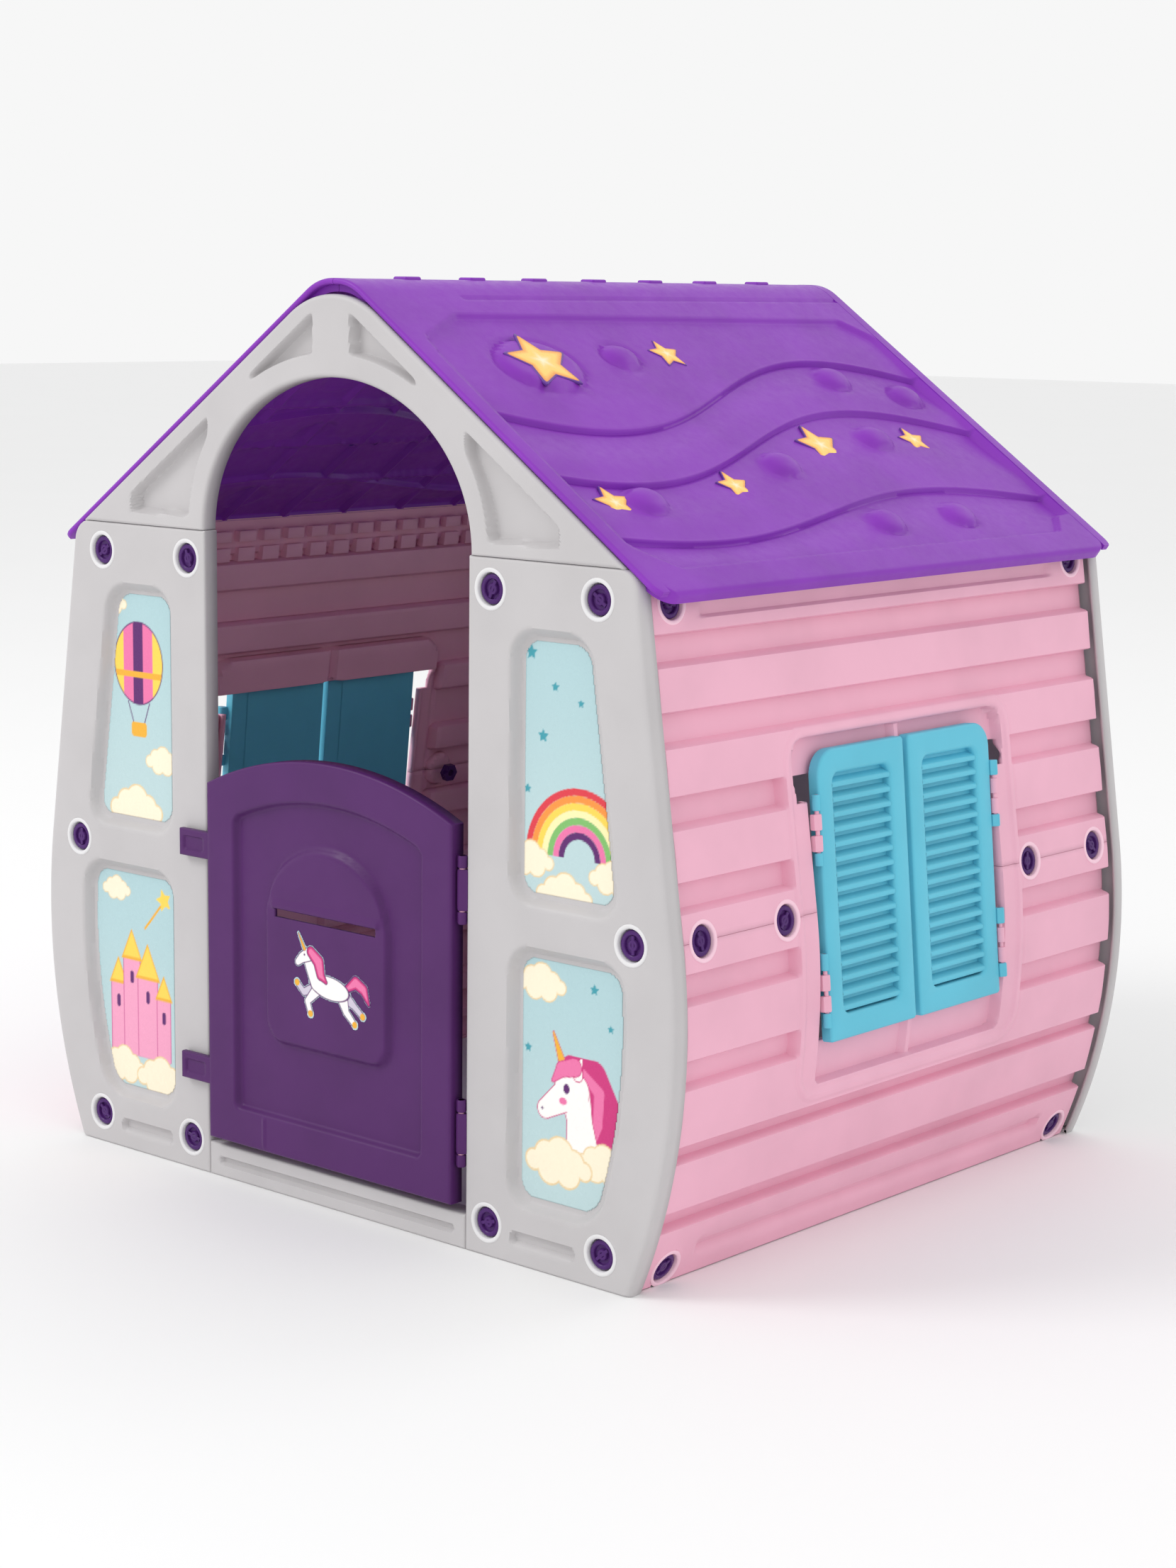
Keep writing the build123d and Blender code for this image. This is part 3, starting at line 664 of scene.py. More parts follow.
wall = dict(
    inset=5.0, rise=15.0, skin=5.0, split=394.0, splitGap=0.5, hollow=0.6, ripple=31.0,
    planks=((0.0, 70.0), (92.0, 152.0), (170.0, 236.0), (267.0, 329.0), (361.0, 427.0), (458.0, 515.0),
            (549.0, 601.0), (637.0, 686.0), (719.0, 780.0)),
    slots=((35.0, 9.0), (741.0, 4.5)), slotHalf=8.0, slotReach=338.0,
)
window = dict(half=183.0, low=243.0, high=545.0, notchHalf=205.0, notchLow=517.0, sillLow=195.0, head=588.0,
              frameHalf=226.0, frameLow=174.0, frameHigh=602.0, frameRound=42.0, bead=7.0, drop=2.0)
wallEnd = house["rear"] - house["plateDepth"]


def bump(x, middle, half, soft):
    # 1 within half of the middle, 0 outside, soft edges
    return 1 - smooth(half - soft, half + soft, np.abs(x - middle))


def wallSink(y, z):
    # depth behind the end panels' outline: planks, grooves, window frame, slots and bolt holes
    w, o = wall, window
    plank = np.zeros_like(z)
    for low, high in w["planks"]:
        plank = np.maximum(plank, smooth(low - 3.2, low + 1.2, z) * (1 - smooth(high - 1.2, high + 3.2, z)))
    plank *= 1 - smooth(wallEnd - 7, wallEnd - 1, np.abs(y))
    depth = w["inset"] + w["rise"] * (1 - plank)
    # gentle hollow of each plank's face
    depth += w["hollow"] * plank * np.abs(np.sin(z / w["ripple"]))
    border = roundBox(o["frameHalf"] - np.abs(y), np.minimum(z - o["frameLow"], o["frameHigh"] - z),
                      o["frameRound"])
    inFrame = 1 - smooth(-3, 2, border)
    depth = depth * (1 - inFrame) + (w["inset"] + o["drop"]) * inFrame
    depth -= 2.6 * bump(border, -o["bead"], 5.0, 2.5)
    opening = roundBox(o["half"] + 2.5 - np.abs(y), np.minimum(z - o["sillLow"], o["head"] - z), 12.0)
    corner = roundBox(o["notchHalf"] + 2.5 - np.abs(y), np.minimum(z - o["notchLow"] + 1, o["head"] - z), 26.0)
    inField = 1 - smooth(-3.5, 0.5, np.minimum(opening, corner))
    depth = depth * (1 - inField) + (w["inset"] + w["rise"]) * inField
    stub = bump(y, 0, 4.5, 2.0) * inField * ((z > o["high"]) | (z < o["low"]))
    depth -= 9.0 * stub
    for slotZ, slotDepth in w["slots"]:
        reach = np.hypot(np.maximum(np.abs(y) - w["slotReach"], 0), z - slotZ)
        depth += slotDepth * (1 - smooth(w["slotHalf"] - 3, w["slotHalf"] + 0.5, reach))
    for boltY, boltZ in wallBoltPlaces():
        away = np.hypot(y - boltY, z - boltZ)
        flat = 1 - smooth(25, 28, away)
        # the lowest hollows run out through the wall's foot, behind their rings
        hollow = boltHollow(np.hypot(y - boltY, np.maximum(z, wallBolts["openBelow"]) - boltZ))
        depth = depth * (1 - flat) + w["inset"] * flat + hollow
    return depth


def wallPart(low, high):
    # right wall between two heights, its grid finer beside every edge; the window and its corner notches are left out
    o = window
    edges = {v for pair in wall["planks"] for v in pair}
    edges = sorted(edges | {o["sillLow"], o["head"], o["frameLow"] + 7, o["frameHigh"] - 7})
    zBreaks = [o["low"], o["high"], o["notchLow"]] + edges
    for _, boltZ in wallBoltPlaces():
        zBreaks += [boltZ - 18, boltZ + 18]
    yBreaks = [side * v for side in (-1, 1) for v in (o["half"], o["notchHalf"], o["frameHalf"] - 7, wallEnd - 4)]
    for boltY, _ in wallBoltPlaces():
        yBreaks += [boltY - 18, boltY + 18]
    ys = stops(-wallEnd, wallEnd, 7.0, yBreaks, 1.8, 5.4)
    zs = stops(low, high, 7.0, zBreaks, 1.6, 4.8)
    z, y = np.meshgrid(zs, ys, indexing="ij")
    depth = wallSink(y, z)
    points = np.stack([outlineX(z, depth), y, z], -1)
    midZ, midY = (zs[:-1] + zs[1:]) / 2, np.abs(ys[:-1] + ys[1:]) / 2
    inZ = (midZ > o["low"]) & (midZ < o["high"])
    hole = inZ[:, None] & (midY < o["half"])[None]
    hole |= ((midZ > o["notchLow"]) & (midZ < o["high"]))[:, None] & (midY < o["notchHalf"])[None]
    return sheetPart(points, ~hole)


teeth = dict(pitch=43.0, wide=29.0, rows=((722.0, 740.0), (748.0, 762.0)), depth=7.0, root=6.0)


def toothParts():
    # rows of blocks along the inside of the wall's top: square steps, drawn in at their faces' edges
    parts = []
    steps = np.array([0.0, 0.0, 0.12, 0.88, 1.0, 1.0])
    stand = np.array([0.8, 0.8, 1.0, 1.0, 0.8, 0.8]) * teeth["depth"]
    out = stand + teeth["root"] * np.array([-1, 1, 1, 1, 1, -1])
    count = int(2 * (wallEnd - 20) / teeth["pitch"])
    for low, high in teeth["rows"]:
        for i in range(count):
            start = -wallEnd + 24 + i * teeth["pitch"]
            y = start + teeth["wide"] * steps
            z = low + (high - low) * steps
            face = np.minimum(out[:, None], out[None, :])
            gz, gy = np.meshgrid(z, y, indexing="ij")
            x = outlineX(gz, wall["inset"] + wall["skin"]) - face - 0.5
            parts.append(flipPart(sheetPart(np.stack([x, gy, gz], -1))))
    return parts


def barrelPart(start, end, radius, out, web, reach):
    # a half round loop of a radius and its web, drawn out from start to end with its ends rounded in;
    # the web narrows towards its outer side, clear of the part that swings
    start, end, out, web = (np.asarray(v, float) for v in (start, end, out, web))
    turn = np.linspace(-math.pi / 2, math.pi / 2, 13)
    loopOut = np.concatenate([radius * np.sin(turn), [radius * 0.1, -radius]])
    loopWeb = np.concatenate([-radius * np.cos(turn), [reach, reach]])
    along = np.array([0.0, 0.0, 0.04, 0.1, 0.9, 0.96, 1.0, 1.0])
    scale = np.array([0.02, 0.86, 0.97, 1.0, 1.0, 0.97, 0.86, 0.02])
    ring = loopOut[None, :, None] * out + loopWeb[None, :, None] * web
    points = start + along[:, None, None] * (end - start) + ring * scale[:, None, None]
    return sheetPart(points, wrapCols=True)


leaf = dict(
    edge=171.0, gap=9.0, low=243.0, high=573.0, thick=14.0,
    border=29.0, cornerRound=30.0, smallRound=5.0, fieldRound=11.0,
    slatPitch=17.0, firstSlat=7.2,
    hingeY=177.0, knuckle=5.4,
    own=((262.0, 278.5), (327.0, 346.0), (445.0, 459.5), (507.0, 525.0)),  # heights of the shutter's barrels
    walls=((280.0, 298.0), (304.0, 322.0), (461.0, 479.0), (485.0, 503.0)),  # and of the wall's, between them
)


def leafFrame():
    # shutter plane: a point half way up on its outer face, the way up along it, the way out of it
    hinge = hinges["right_rear_shutter_hinge"]
    up = np.abs(np.array(hinge["axis"])) * [-1, 1, 1]
    out = np.array([up[2], 0, -up[0]])
    middle = np.array(hinge["pos_m"]) * 1000 * [1, 0, 1]
    return middle, up, out


def leafPoint(u, v, w):
    # place in the house of u along the wall, v up the shutter and w out of it
    middle, up, out = leafFrame()
    u, v, w = np.broadcast_arrays(np.asarray(u, float), np.asarray(v, float), np.asarray(w, float))
    return middle + u[..., None] * np.array([0, 1.0, 0]) + v[..., None] * up + w[..., None] * out


def rectLoop(low, high, radii, inset=0.0):
    # round-cornered rectangle, the same number of points whatever the inset
    (x0, y0), (x1, y1) = low, high
    x0, y0, x1, y1 = x0 + inset, y0 + inset, x1 - inset, y1 - inset
    corners = [(x0, y0, 1, 1, math.pi), (x1, y0, -1, 1, 1.5 * math.pi), (x1, y1, -1, -1, 0),
               (x0, y1, 1, -1, math.pi / 2)]
    loop = []
    for (cx, cy, sx, sy, begin), radius in zip(corners, radii):
        r = max(radius - inset, 0.4)
        turn = begin + np.linspace(0, math.pi / 2, 9)
        loop.append(np.stack([cx + sx * r + r * np.cos(turn), cy + sy * r + r * np.sin(turn)], -1))
    dense = []
    for i in range(4):
        dense.append(loop[i])
        nextStart = loop[(i + 1) % 4][0]
        steps = np.linspace(0, 1, 12)[1:-1, None]
        dense.append(loop[i][-1] * (1 - steps) + nextStart * steps)
    return np.concatenate(dense)


def leafPart():
    # frame: loops carried round its section, from the back over the outer edge and the face into the field;
    # then a back plate and the slats
    m = leaf
    half = (m["high"] - m["low"]) / 2 / leafFrame()[1][2]
    low, high = (-m["edge"], -half), (-m["gap"] / 2, half)
    r, s = m["cornerRound"], m["smallRound"]
    fieldLow = (low[0] + m["border"], low[1] + m["border"])
    fieldHigh = (high[0] - m["border"], high[1] - m["border"])
    t = m["thick"]

    def outer(inset):
        return rectLoop(low, high, (s, s, s, r), inset)

    def inner(inset):
        return rectLoop(fieldLow, fieldHigh, (m["fieldRound"],) * 4, inset)

    steps = [(outer, 0.6, -t), (outer, 0, -t + 0.6), (outer, 0, -3.0), (outer, 0.5, -1.6), (outer, 1.6, -0.5),
             (outer, 3.2, 0.0), (inner, -5.5, 0.0), (inner, -3.4, -0.5), (inner, -1.6, -1.8), (inner, -0.6, -3.4),
             (inner, 0.0, -5.5), (inner, 0.0, -t + 1.5)]
    rings = []
    for make, inset, depth in steps:
        loop = make(inset)
        rings.append(leafPoint(loop[:, 0], loop[:, 1], np.full(len(loop), depth)))
    parts = [sheetPart(np.stack(rings), wrapRows=True, wrapCols=True)]
    # back plate of the louvres
    u = np.linspace(fieldLow[0] - 1, fieldHigh[0] + 1, 8)
    v = np.linspace(fieldLow[1] - 1, fieldHigh[1] + 1, 20)
    for depth, turn in ((-t + 2.4, False), (-t + 0.8, True)):
        gu, gv = np.meshgrid(u, v, indexing="ij")
        plate = sheetPart(leafPoint(gu, gv, np.full_like(gu, depth)))
        parts.append(flipPart(plate) if turn else plate)
    return parts + slatParts(fieldLow, fieldHigh)


def slatParts(fieldLow, fieldHigh):
    # rounded slats: a lipped, tilted section carried across the field
    count = int((fieldHigh[1] - fieldLow[1]) / leaf["slatPitch"])
    first = fieldLow[1] + leaf["firstSlat"]
    v = np.array([-4.6, -4.2, -3.0, -1.2, 0.6, 1.6, 6.4, 6.8, 5.2, -0.4, -3.2])
    w = np.array([-3.6, -2.6, -2.0, -1.8, -2.2, -3.2, -11.2, -12.2, -12.4, -6.2, -4.8])
    u = np.linspace(fieldLow[0] - 1.0, fieldHigh[0] + 1.0, 7)
    parts = []
    for i in range(count):
        gu, gv = np.meshgrid(u, v + first + i * leaf["slatPitch"], indexing="ij")
        gw = np.repeat(w[None], len(u), 0)
        parts.append(sheetPart(leafPoint(gu, gv, gw), wrapCols=True))
    return parts


def knucklePart(heights, y, web):
    # hinge barrel between two heights, on the leaning axis at y
    up, out = leafFrame()[1:]
    middle = leafFrame()[0][2]
    v = (np.array(heights) - middle) / up[2]
    start, end = leafPoint([y, y], v, [0, 0])
    return barrelPart(start, end, leaf["knuckle"], out, (0, web, 0), 6.0)


def makeShutters():
    # front right shutter with its barrels, mirrored to the left and both turned to the rear
    parts = leafPart()
    for heights in leaf["own"]:
        parts.append(knucklePart(heights, -leaf["hingeY"], 1))
    frontRight = joinParts(parts)
    frontLeft = mirrorPart(frontRight)
    places = dict(right_front=frontRight, left_front=frontLeft, left_rear=turnPart(frontRight),
                  right_rear=turnPart(frontLeft))
    for name, part in places.items():
        body = name + "_shutter"
        makePiece(body + "_leaf", [part], finishes["blue"], body, (body,))
    print("shutters made")


def makeWalls():
    # four half walls, then the barrels between the shutters' own and the rows of blocks
    halves = dict(lower=(0.0, wall["split"]), upper=(wall["split"] + wall["splitGap"], wallHigh[2]))
    for half, (low, high) in halves.items():
        part = wallPart(low, high)
        for side, made in (("right", part), ("left", mirrorPart(part))):
            out = (1 if side == "right" else -1, 0, 0)
            makePiece(f"{side}_wall_{half}_skin", [made], finishes["pink"], "house",
                      (f"{side}_wall_{half}",), wall["skin"], out)
    knuckles = [knucklePart(h, end * leaf["hingeY"], end) for h in leaf["walls"] for end in (-1, 1)]
    trims = dict(wall_sockets=knuckles, wall_teeth=toothParts())
    for name, parts in trims.items():
        both = parts + [mirrorPart(part) for part in parts]
        makePiece(name, both, finishes["pink"], "house")
    print("walls made")


def makeBolts():
    # end bolts on both ends, wall bolts on both sides, square to the arc or to the straight lean above it
    ends = [((x, house["front"], z), (0, -1, 0), (1, 0, 0)) for x, z in endBoltPlaces()]
    sides = []
    for y, z in wallBoltPlaces():
        slant = math.asin((min(z, house["leanFrom"]) - house["bulgeHeight"]) / house["bulgeRadius"])
        out = (math.cos(slant), 0, math.sin(slant))
        sides.append(((float(outlineX(z, wall["inset"])), y, z), out, (0, 1, 0)))
    rings, heads = boltSet(ends, 0.9)
    rings += [mirrorPart(part) for part in rings]
    heads += [mirrorPart(part) for part in heads]
    # the collars are painted lighter than the white panel round them, a painted highlight on their raised rims
    makePiece("front_bolt_rings", rings, finishes["whiteRing"], "house")
    makePiece("front_bolt_heads", heads, finishes["bolt"], "house", ("front_bolts",))
    makePiece("rear_bolt_rings", [turnPart(p) for p in rings], finishes["whiteRing"], "house")
    makePiece("rear_bolt_heads", [turnPart(p) for p in heads], finishes["bolt"], "house",
              ("rear_bolts",))
    rings, heads = boltSet(sides, 0.55)
    for ring in rings:
        ring["points"][:, 2] = np.maximum(ring["points"][:, 2], 0.3)
    for side, change in (("right", lambda part: part), ("left", mirrorPart)):
        # the wall collars are painted lighter than the pink wall round them, a painted highlight on their raised rims
        makePiece(f"{side}_wall_bolt_rings", [change(p) for p in rings], finishes["pinkRing"], "house")
        makePiece(f"{side}_wall_bolt_heads", [change(p) for p in heads], finishes["bolt"], "house",
                  (f"{side}_wall_bolts",))
    print("bolts made")


door = dict(
    low=52.0, sideTop=490.0, top=535.0, flat=440.0, thick=20.0, edge=3.0,  # rows are level up to flat
    border=46.0, relief=8.0, fieldLow=96.0, fieldSide=455.0, fieldTop=488.0,
    bossHalf=99.0, bossLow=194.0, bossSpring=371.0, bossTop=430.0,
    slotHalf=84.0, slotLow=344.0, slotHigh=354.0, ribX=-105.0,
    tabs=(134.0, 412.0), tabHigh=33.0, tabFrom=-254.0, tabRim=7.0, tabSunk=2.2,
    hinges=(135.5, 416.0), hingeHigh=78.0, ear=14.0, knuckle=6.0,
)
doorHalf = house["doorHalf"] - 13.0


def doorSink(x, z):
    # depth of the door's face: a sunk field round an arched boss
    d = door
    fieldHalf = doorHalf - d["border"]
    inField = 1 - smooth(-6, 1, archedDistance(x, z, fieldHalf, d["fieldLow"], d["fieldSide"], d["fieldTop"], 10))
    boss = archedDistance(x, z, d["bossHalf"], d["bossLow"], d["bossSpring"], d["bossTop"], 24)
    onBoss = 1 - smooth(-2, 7, boss)
    depth = d["relief"] * inField * (1 - onBoss)
    # hood over the letter slot, and the rib on the bottom rail
    hood = bump(x, 0, d["slotHalf"] + 5, 2.5) * bump(z, d["slotHigh"] + 3.5, 3.5, 1.2)
    rib = bump(x, d["ribX"], 2.5, 1.2) * (1 - smooth(d["fieldLow"] - 6, d["fieldLow"], z)) * smooth(56, 62, z)
    return depth - 2.4 * hood - 1.4 * rib


def doorPart():
    # level rows up to flat, then rows squeezed under the arched top; the letter slot is left out
    d = door
    inset, back = skirt(d["edge"], d["thick"])
    xBreaks = [d["ribX"]]
    for half in (d["slotHalf"], d["bossHalf"] + 3, doorHalf - d["border"] - 2):
        xBreaks += [-half, half]
    zBreaks = [d["slotLow"], d["slotHigh"], d["bossLow"], d["fieldLow"]]
    xs = stops(-doorHalf + d["edge"], doorHalf - d["edge"], 4.0, xBreaks, 1.5, 6)
    zs = stops(d["low"] + d["edge"], d["flat"], 4.0, zBreaks, 1.5, 6)
    share = np.linspace(0, 1, 40)[1:]
    k = len(inset)
    x = np.concatenate([-doorHalf + inset[::-1], xs, doorHalf - inset])
    colBack = np.concatenate([back[::-1], np.zeros(len(xs)), back])
    x = np.repeat(x[None], k + len(zs) + len(share) + k, 0)
    ceiling = archedTop(x[0], doorHalf, d["sideTop"], d["top"])
    bottom = np.repeat((d["low"] + inset[::-1])[:, None], x.shape[1], 1)
    flat = np.repeat(zs[:, None], x.shape[1], 1)
    arched = d["flat"] + share[:, None] * (ceiling[None] - d["edge"] - d["flat"])
    top = ceiling[None] - inset[:, None]
    z = np.concatenate([bottom, flat, arched, top])
    rowBack = np.concatenate([back[::-1], np.zeros(len(zs) + len(share)), back])
    behind = np.maximum(colBack[None], rowBack[:, None])
    y = doorFront + behind + np.where(behind < 0.01, doorSink(x, z), 0)
    midX, midZ = (x[0, :-1] + x[0, 1:]) / 2, (z[:-1, 5] + z[1:, 5]) / 2
    hole = ((midZ > d["slotLow"]) & (midZ < d["slotHigh"]))[:, None] & (np.abs(midX) < d["slotHalf"])[None]
    return sheetPart(np.stack([x, y, z], -1), ~hole)


def tabPart(z):
    # small latch plate with a sunk middle, lapping over the jamb
    d = door
    low, high, half = d["tabFrom"], -doorHalf + 5, d["tabHigh"] / 2

    def sink(x, v):
        dx = np.minimum(x - low - d["tabRim"], high - d["tabRim"] - 5 - x)
        return d["tabSunk"] * (1 - smooth(-2.5, 0, roundBox(dx, half - d["tabRim"] - np.abs(v - z), 4)))

    points = platePart(lambda v: np.full_like(v, low), lambda v: np.full_like(v, high),
                       np.linspace(z - half, z + half, 23), 30, 2.5, 8.0, sink)
    points[..., 1] += doorFront + 0.5
    return sheetPart(points)


def doorEars():
    # barrels above and below each hinge on the door, and the longer ones between them on the jamb
    axis = np.array(hinges["door_hinge"]["pos_m"]) * 1000
    parts, sockets = [], []
    for z in door["hinges"]:
        half = door["hingeHigh"] / 2
        for low, high in ((z - half, z - half + door["ear"]), (z + half - door["ear"], z + half)):
            parts.append(barrelPart((axis[0], axis[1], low), (axis[0], axis[1], high), door["knuckle"],
                                    (0, -1, 0), (-1, 0, 0), 9.0))
        inner = half - door["ear"] - 1.5
        sockets.append(barrelPart((axis[0], axis[1], z - inner), (axis[0], axis[1], z + inner), door["knuckle"],
                                  (0, -1, 0), (1, 0, 0), 8.0))
    return parts, sockets


def makeDoor():
    # leaf, its latch plates and barrels, and the sockets that stay with the house
    ears, sockets = doorEars()
    makePiece("door_leaf", [doorPart()], finishes["door"], "door", ("door",), 4.0,
              (0, -1, 0), sharp=60)
    makePiece("door_fittings", [tabPart(z) for z in door["tabs"]] + ears, finishes["door"], "door")
    makePiece("door_sockets", sockets, finishes["door"], "house")
    print("door made")


def roofPoint(y, s, depth):
    # s runs down the slope from the bend, negative up to the middle; the bend is an arc between the two flats
    pitch, bend = roofShape["pitch"], roof["bend"]
    radius = bend / math.tan(pitch / 2)
    turn = np.clip((s + bend) / (2 * bend), 0, 1) * pitch
    below, level = np.maximum(s - bend, 0), np.minimum(s + bend, 0)
    x = roofShape["ridgeHalf"] - bend + radius * np.sin(turn) + below * math.cos(pitch) + level
    z = roofShape["ridge"] - radius * (1 - np.cos(turn)) - below * math.sin(pitch)
    return np.stack([x - np.sin(turn) * depth, y, z - np.cos(turn) * depth], -1)


def roofSink(y, s):
    # depth behind the roof's slope: rib, recessed field with rolling waves, raised ovals
    r = roof
    top = np.interp(y, *zip(*r["topEdge"]))
    low = np.interp(y, *zip(*r["footEdge"]))
    outside = smoothMax([top - s, s - low, r["frontLine"] - y, y - r["rearLine"]], 4.0)
    inField = 1 - smooth(-5, 2, outside)
    depth = np.full_like(s, r["sunk"])
    below = [creaseLine(y, c) for c in creases[1:]] + [np.full_like(s, r["foot"] + 8)]
    for values, nextLine in zip(creases, below):
        # each wave drops just past its crease, swells back before the next, and has a thin line along it
        line = creaseLine(y, values)
        swell = 1 - smooth(0.02, 0.8, (s - line) / (nextLine - line))
        depth += r["step"] * smooth(-0.6, 2.6, s - line) * swell + r["line"] * bump(s - line, 2.0, 2.4, 1.6)
        depth += 1.2 * smooth(-46, -3, s - line) * (1 - smooth(-3, 1, s - line))
    depth = depth * inField + 1.8 * bump(s, r["rib"], 2.8, 1.6) * (y > r["ribFrom"]) * (y < r["ribTo"])
    ovals = [lens + (r["lensY"], r["lensS"], r["lensHigh"], 0.0) for lens in lenses]
    ovals.append(bigOval + (r["bigY"], r["bigS"], r["bigHigh"], 0.75))
    for midY, midS, halfY, halfS, high, flatTop in ovals:
        q = np.hypot((y - midY) / halfY, (s - midS) / halfS)
        dome = np.sqrt(np.maximum(1 - np.clip((q - flatTop) / (1 - flatTop), 0, 1) ** 2, 0))
        near = 1 - smooth(1.0 + 2.0 / halfS, 1.0 + 7.0 / halfS, q)
        depth = depth * (1 - near) + r["moat"] * near - high * dome
    return depth


def creaseLine(y, values):
    # distance down the slope of a crease: a sine wave along the ridge
    middle, swing, shift, length = values
    return middle - swing * np.sin(2 * math.pi * (y + shift) / length)


def roofPart():
    # top sheet rolled over its rim, and a ribbed underside that meets it along the rim's foot
    r, run = roof, roofShape["run"]
    low = -roofShape["ridgeHalf"] + 0.3
    inset, back = skirt(r["rim"], r["thick"], 7)
    rowInset, rowBack = inset.copy(), back.copy()
    rowInset[:-1] *= 0.3
    rowBack[:-1] *= 0.3
    yFlat = np.linspace(-r["half"] + inset[0], r["half"] - inset[0], r["cols"])
    y = np.concatenate([-r["half"] + inset[::-1], yFlat, r["half"] - inset])
    # rows follow the creases, closer together beside them
    flat = np.zeros_like(y)
    knots = [flat + low + rowInset[0], flat + r["top"] + 18] + [creaseLine(y, c) for c in creases]
    knots += [flat + r["foot"] - 22, flat + run - inset[0]]
    sFlat = []
    last = len(r["rows"]) - 1
    for i, count in enumerate(r["rows"]):
        t = np.linspace(0, 1, count, endpoint=i == last)[:, None]
        t = t if i in (0, last) else 0.3 * t + 0.7 * (0.5 - 0.5 * np.cos(math.pi * t))
        sFlat.append(knots[i] * (1 - t) + knots[i + 1] * t)
    sFlat = np.concatenate(sFlat)
    head = np.repeat((low + rowInset[::-1])[:, None], len(y), 1)
    foot = np.repeat((run - inset)[:, None], len(y), 1)
    gs = np.concatenate([head, sFlat, foot])
    sBack = np.concatenate([rowBack[::-1], np.zeros(len(sFlat)), back])
    yBack = np.concatenate([back[::-1], np.zeros(len(yFlat)), back])
    over = np.clip(gs[:, 0] - (run - r["cornerRound"]), 0, r["cornerRound"])
    width = r["half"] - r["cornerRound"] + np.sqrt(r["cornerRound"] ** 2 - over**2)
    gy = y[None] * (width / r["half"])[:, None]
    behind = np.maximum(sBack[:, None], yBack[None])
    # the two roof halves meet flush at the ridge
    depth = behind + np.where(behind < 0.01, roofSink(gy, gs) * smooth(0, 9, gs - low - 2), 0)
    top = sheetPart(roofPoint(gy, gs, depth))
    # underside: pockets between ribs
    bayS, bayY = r["bayS"] / 2, r["bayY"] / 2
    us, uy = np.abs((gs - low) % r["bayS"] - bayS), np.abs((gy + r["half"]) % r["bayY"] - bayY)
    pocket = smooth(0, 2.5, bayS - r["web"] - us) * smooth(0, 2.5, bayY - r["web"] - uy)
    pocket *= smooth(9, 12, np.minimum(gs - low, run - gs)) * smooth(9, 12, width[:, None] - np.abs(gy))
    under = np.maximum(r["thick"] - r["pocket"] * pocket, depth * (behind < 0.01) + r["skin"])
    return joinParts([top, flipPart(sheetPart(roofPoint(gy, gs, under)))])


lip = dict(reach=10.0, inward=9.0, thick=7.0, above=0.25, taper=16.0, steps=110)


def lipPart():
    # thin rounded strip along the roof's end, lapping over the gable's edge from the ridge to the eave
    end, run = roof["half"], roofShape["run"]
    low, high = -roofShape["ridgeHalf"] + 0.3, run - roof["cornerRound"] + 6
    taper = high + lip["taper"] * np.array([0.4, 0.8, 1.0, 1.0])
    s = np.concatenate([[low, low], np.linspace(low + 0.2, high, lip["steps"]), taper])
    out = np.concatenate([[0.0, 1.0], np.ones(lip["steps"]), [0.93, 0.62, 0.2, 0.0]])
    angle = np.linspace(-math.pi / 2, math.pi / 2, 11)
    half = (lip["thick"] + lip["above"]) / 2
    reach = np.concatenate([[-lip["inward"]], lip["reach"] - half + half * np.cos(angle), [-lip["inward"]]])
    depth = np.concatenate([[-lip["above"]], half * np.sin(angle) + half - lip["above"], [lip["thick"]]])
    y = end + reach[None] * np.where(reach[None] > 0, out[:, None], 1.0)
    gs = np.repeat(s[:, None], len(reach), 1)
    deep = half - lip["above"] + (depth[None] - half + lip["above"]) * np.where(out[:, None] > 0.01, 1.0, 0.02)
    return sheetPart(roofPoint(y, gs, deep), wrapCols=True)


def blockPart(low, high, radius):
    # rounded block: round-cornered loops stacked up, drawn in at the top and bottom
    low, high = np.asarray(low, float), np.asarray(high, float)
    inset, back = skirt(radius, radius, 5)
    wide = high[0] - low[0]
    layers = [(low[2], radius + wide / 5)]
    layers += [(low[2] + b, i) for b, i in zip(back[:-1], inset[:-1])]
    layers += [(high[2] - b, i) for b, i in zip(back[-2::-1], inset[-2::-1])]
    layers.append((high[2], radius + wide / 5))
    rings = []
    for z, drawn in layers:
        loop = rectLoop(low[:2], high[:2], (radius,) * 4, drawn)
        rings.append(np.stack([loop[:, 0], loop[:, 1], np.full(len(loop), z)], -1))
    return sheetPart(np.stack(rings), wrapCols=True)


def starRadius(angle, radius, inner=0.50):
    # five-pointed outline: straight edges from tip to notch, softened tips
    turn = np.abs((angle / (2 * math.pi) * 5) % 1.0 - 0.5) * 2
    a = math.pi / 5
    t = turn * a
    tipX, tipY, inX, inY = 1.0, 0.0, inner * math.cos(a), inner * math.sin(a)
    nx, ny = -(inY - tipY), inX - tipX
    edge = (nx * tipX + ny * tipY) / (nx * np.cos(a - t) + ny * np.sin(a - t))
    return radius * np.minimum(edge, 0.93 + 0.02 * turn)


starInk = dict(rim=(104, 62, 150), outer=(244, 160, 84), middle=(255, 214, 120), heart=(255, 246, 214))


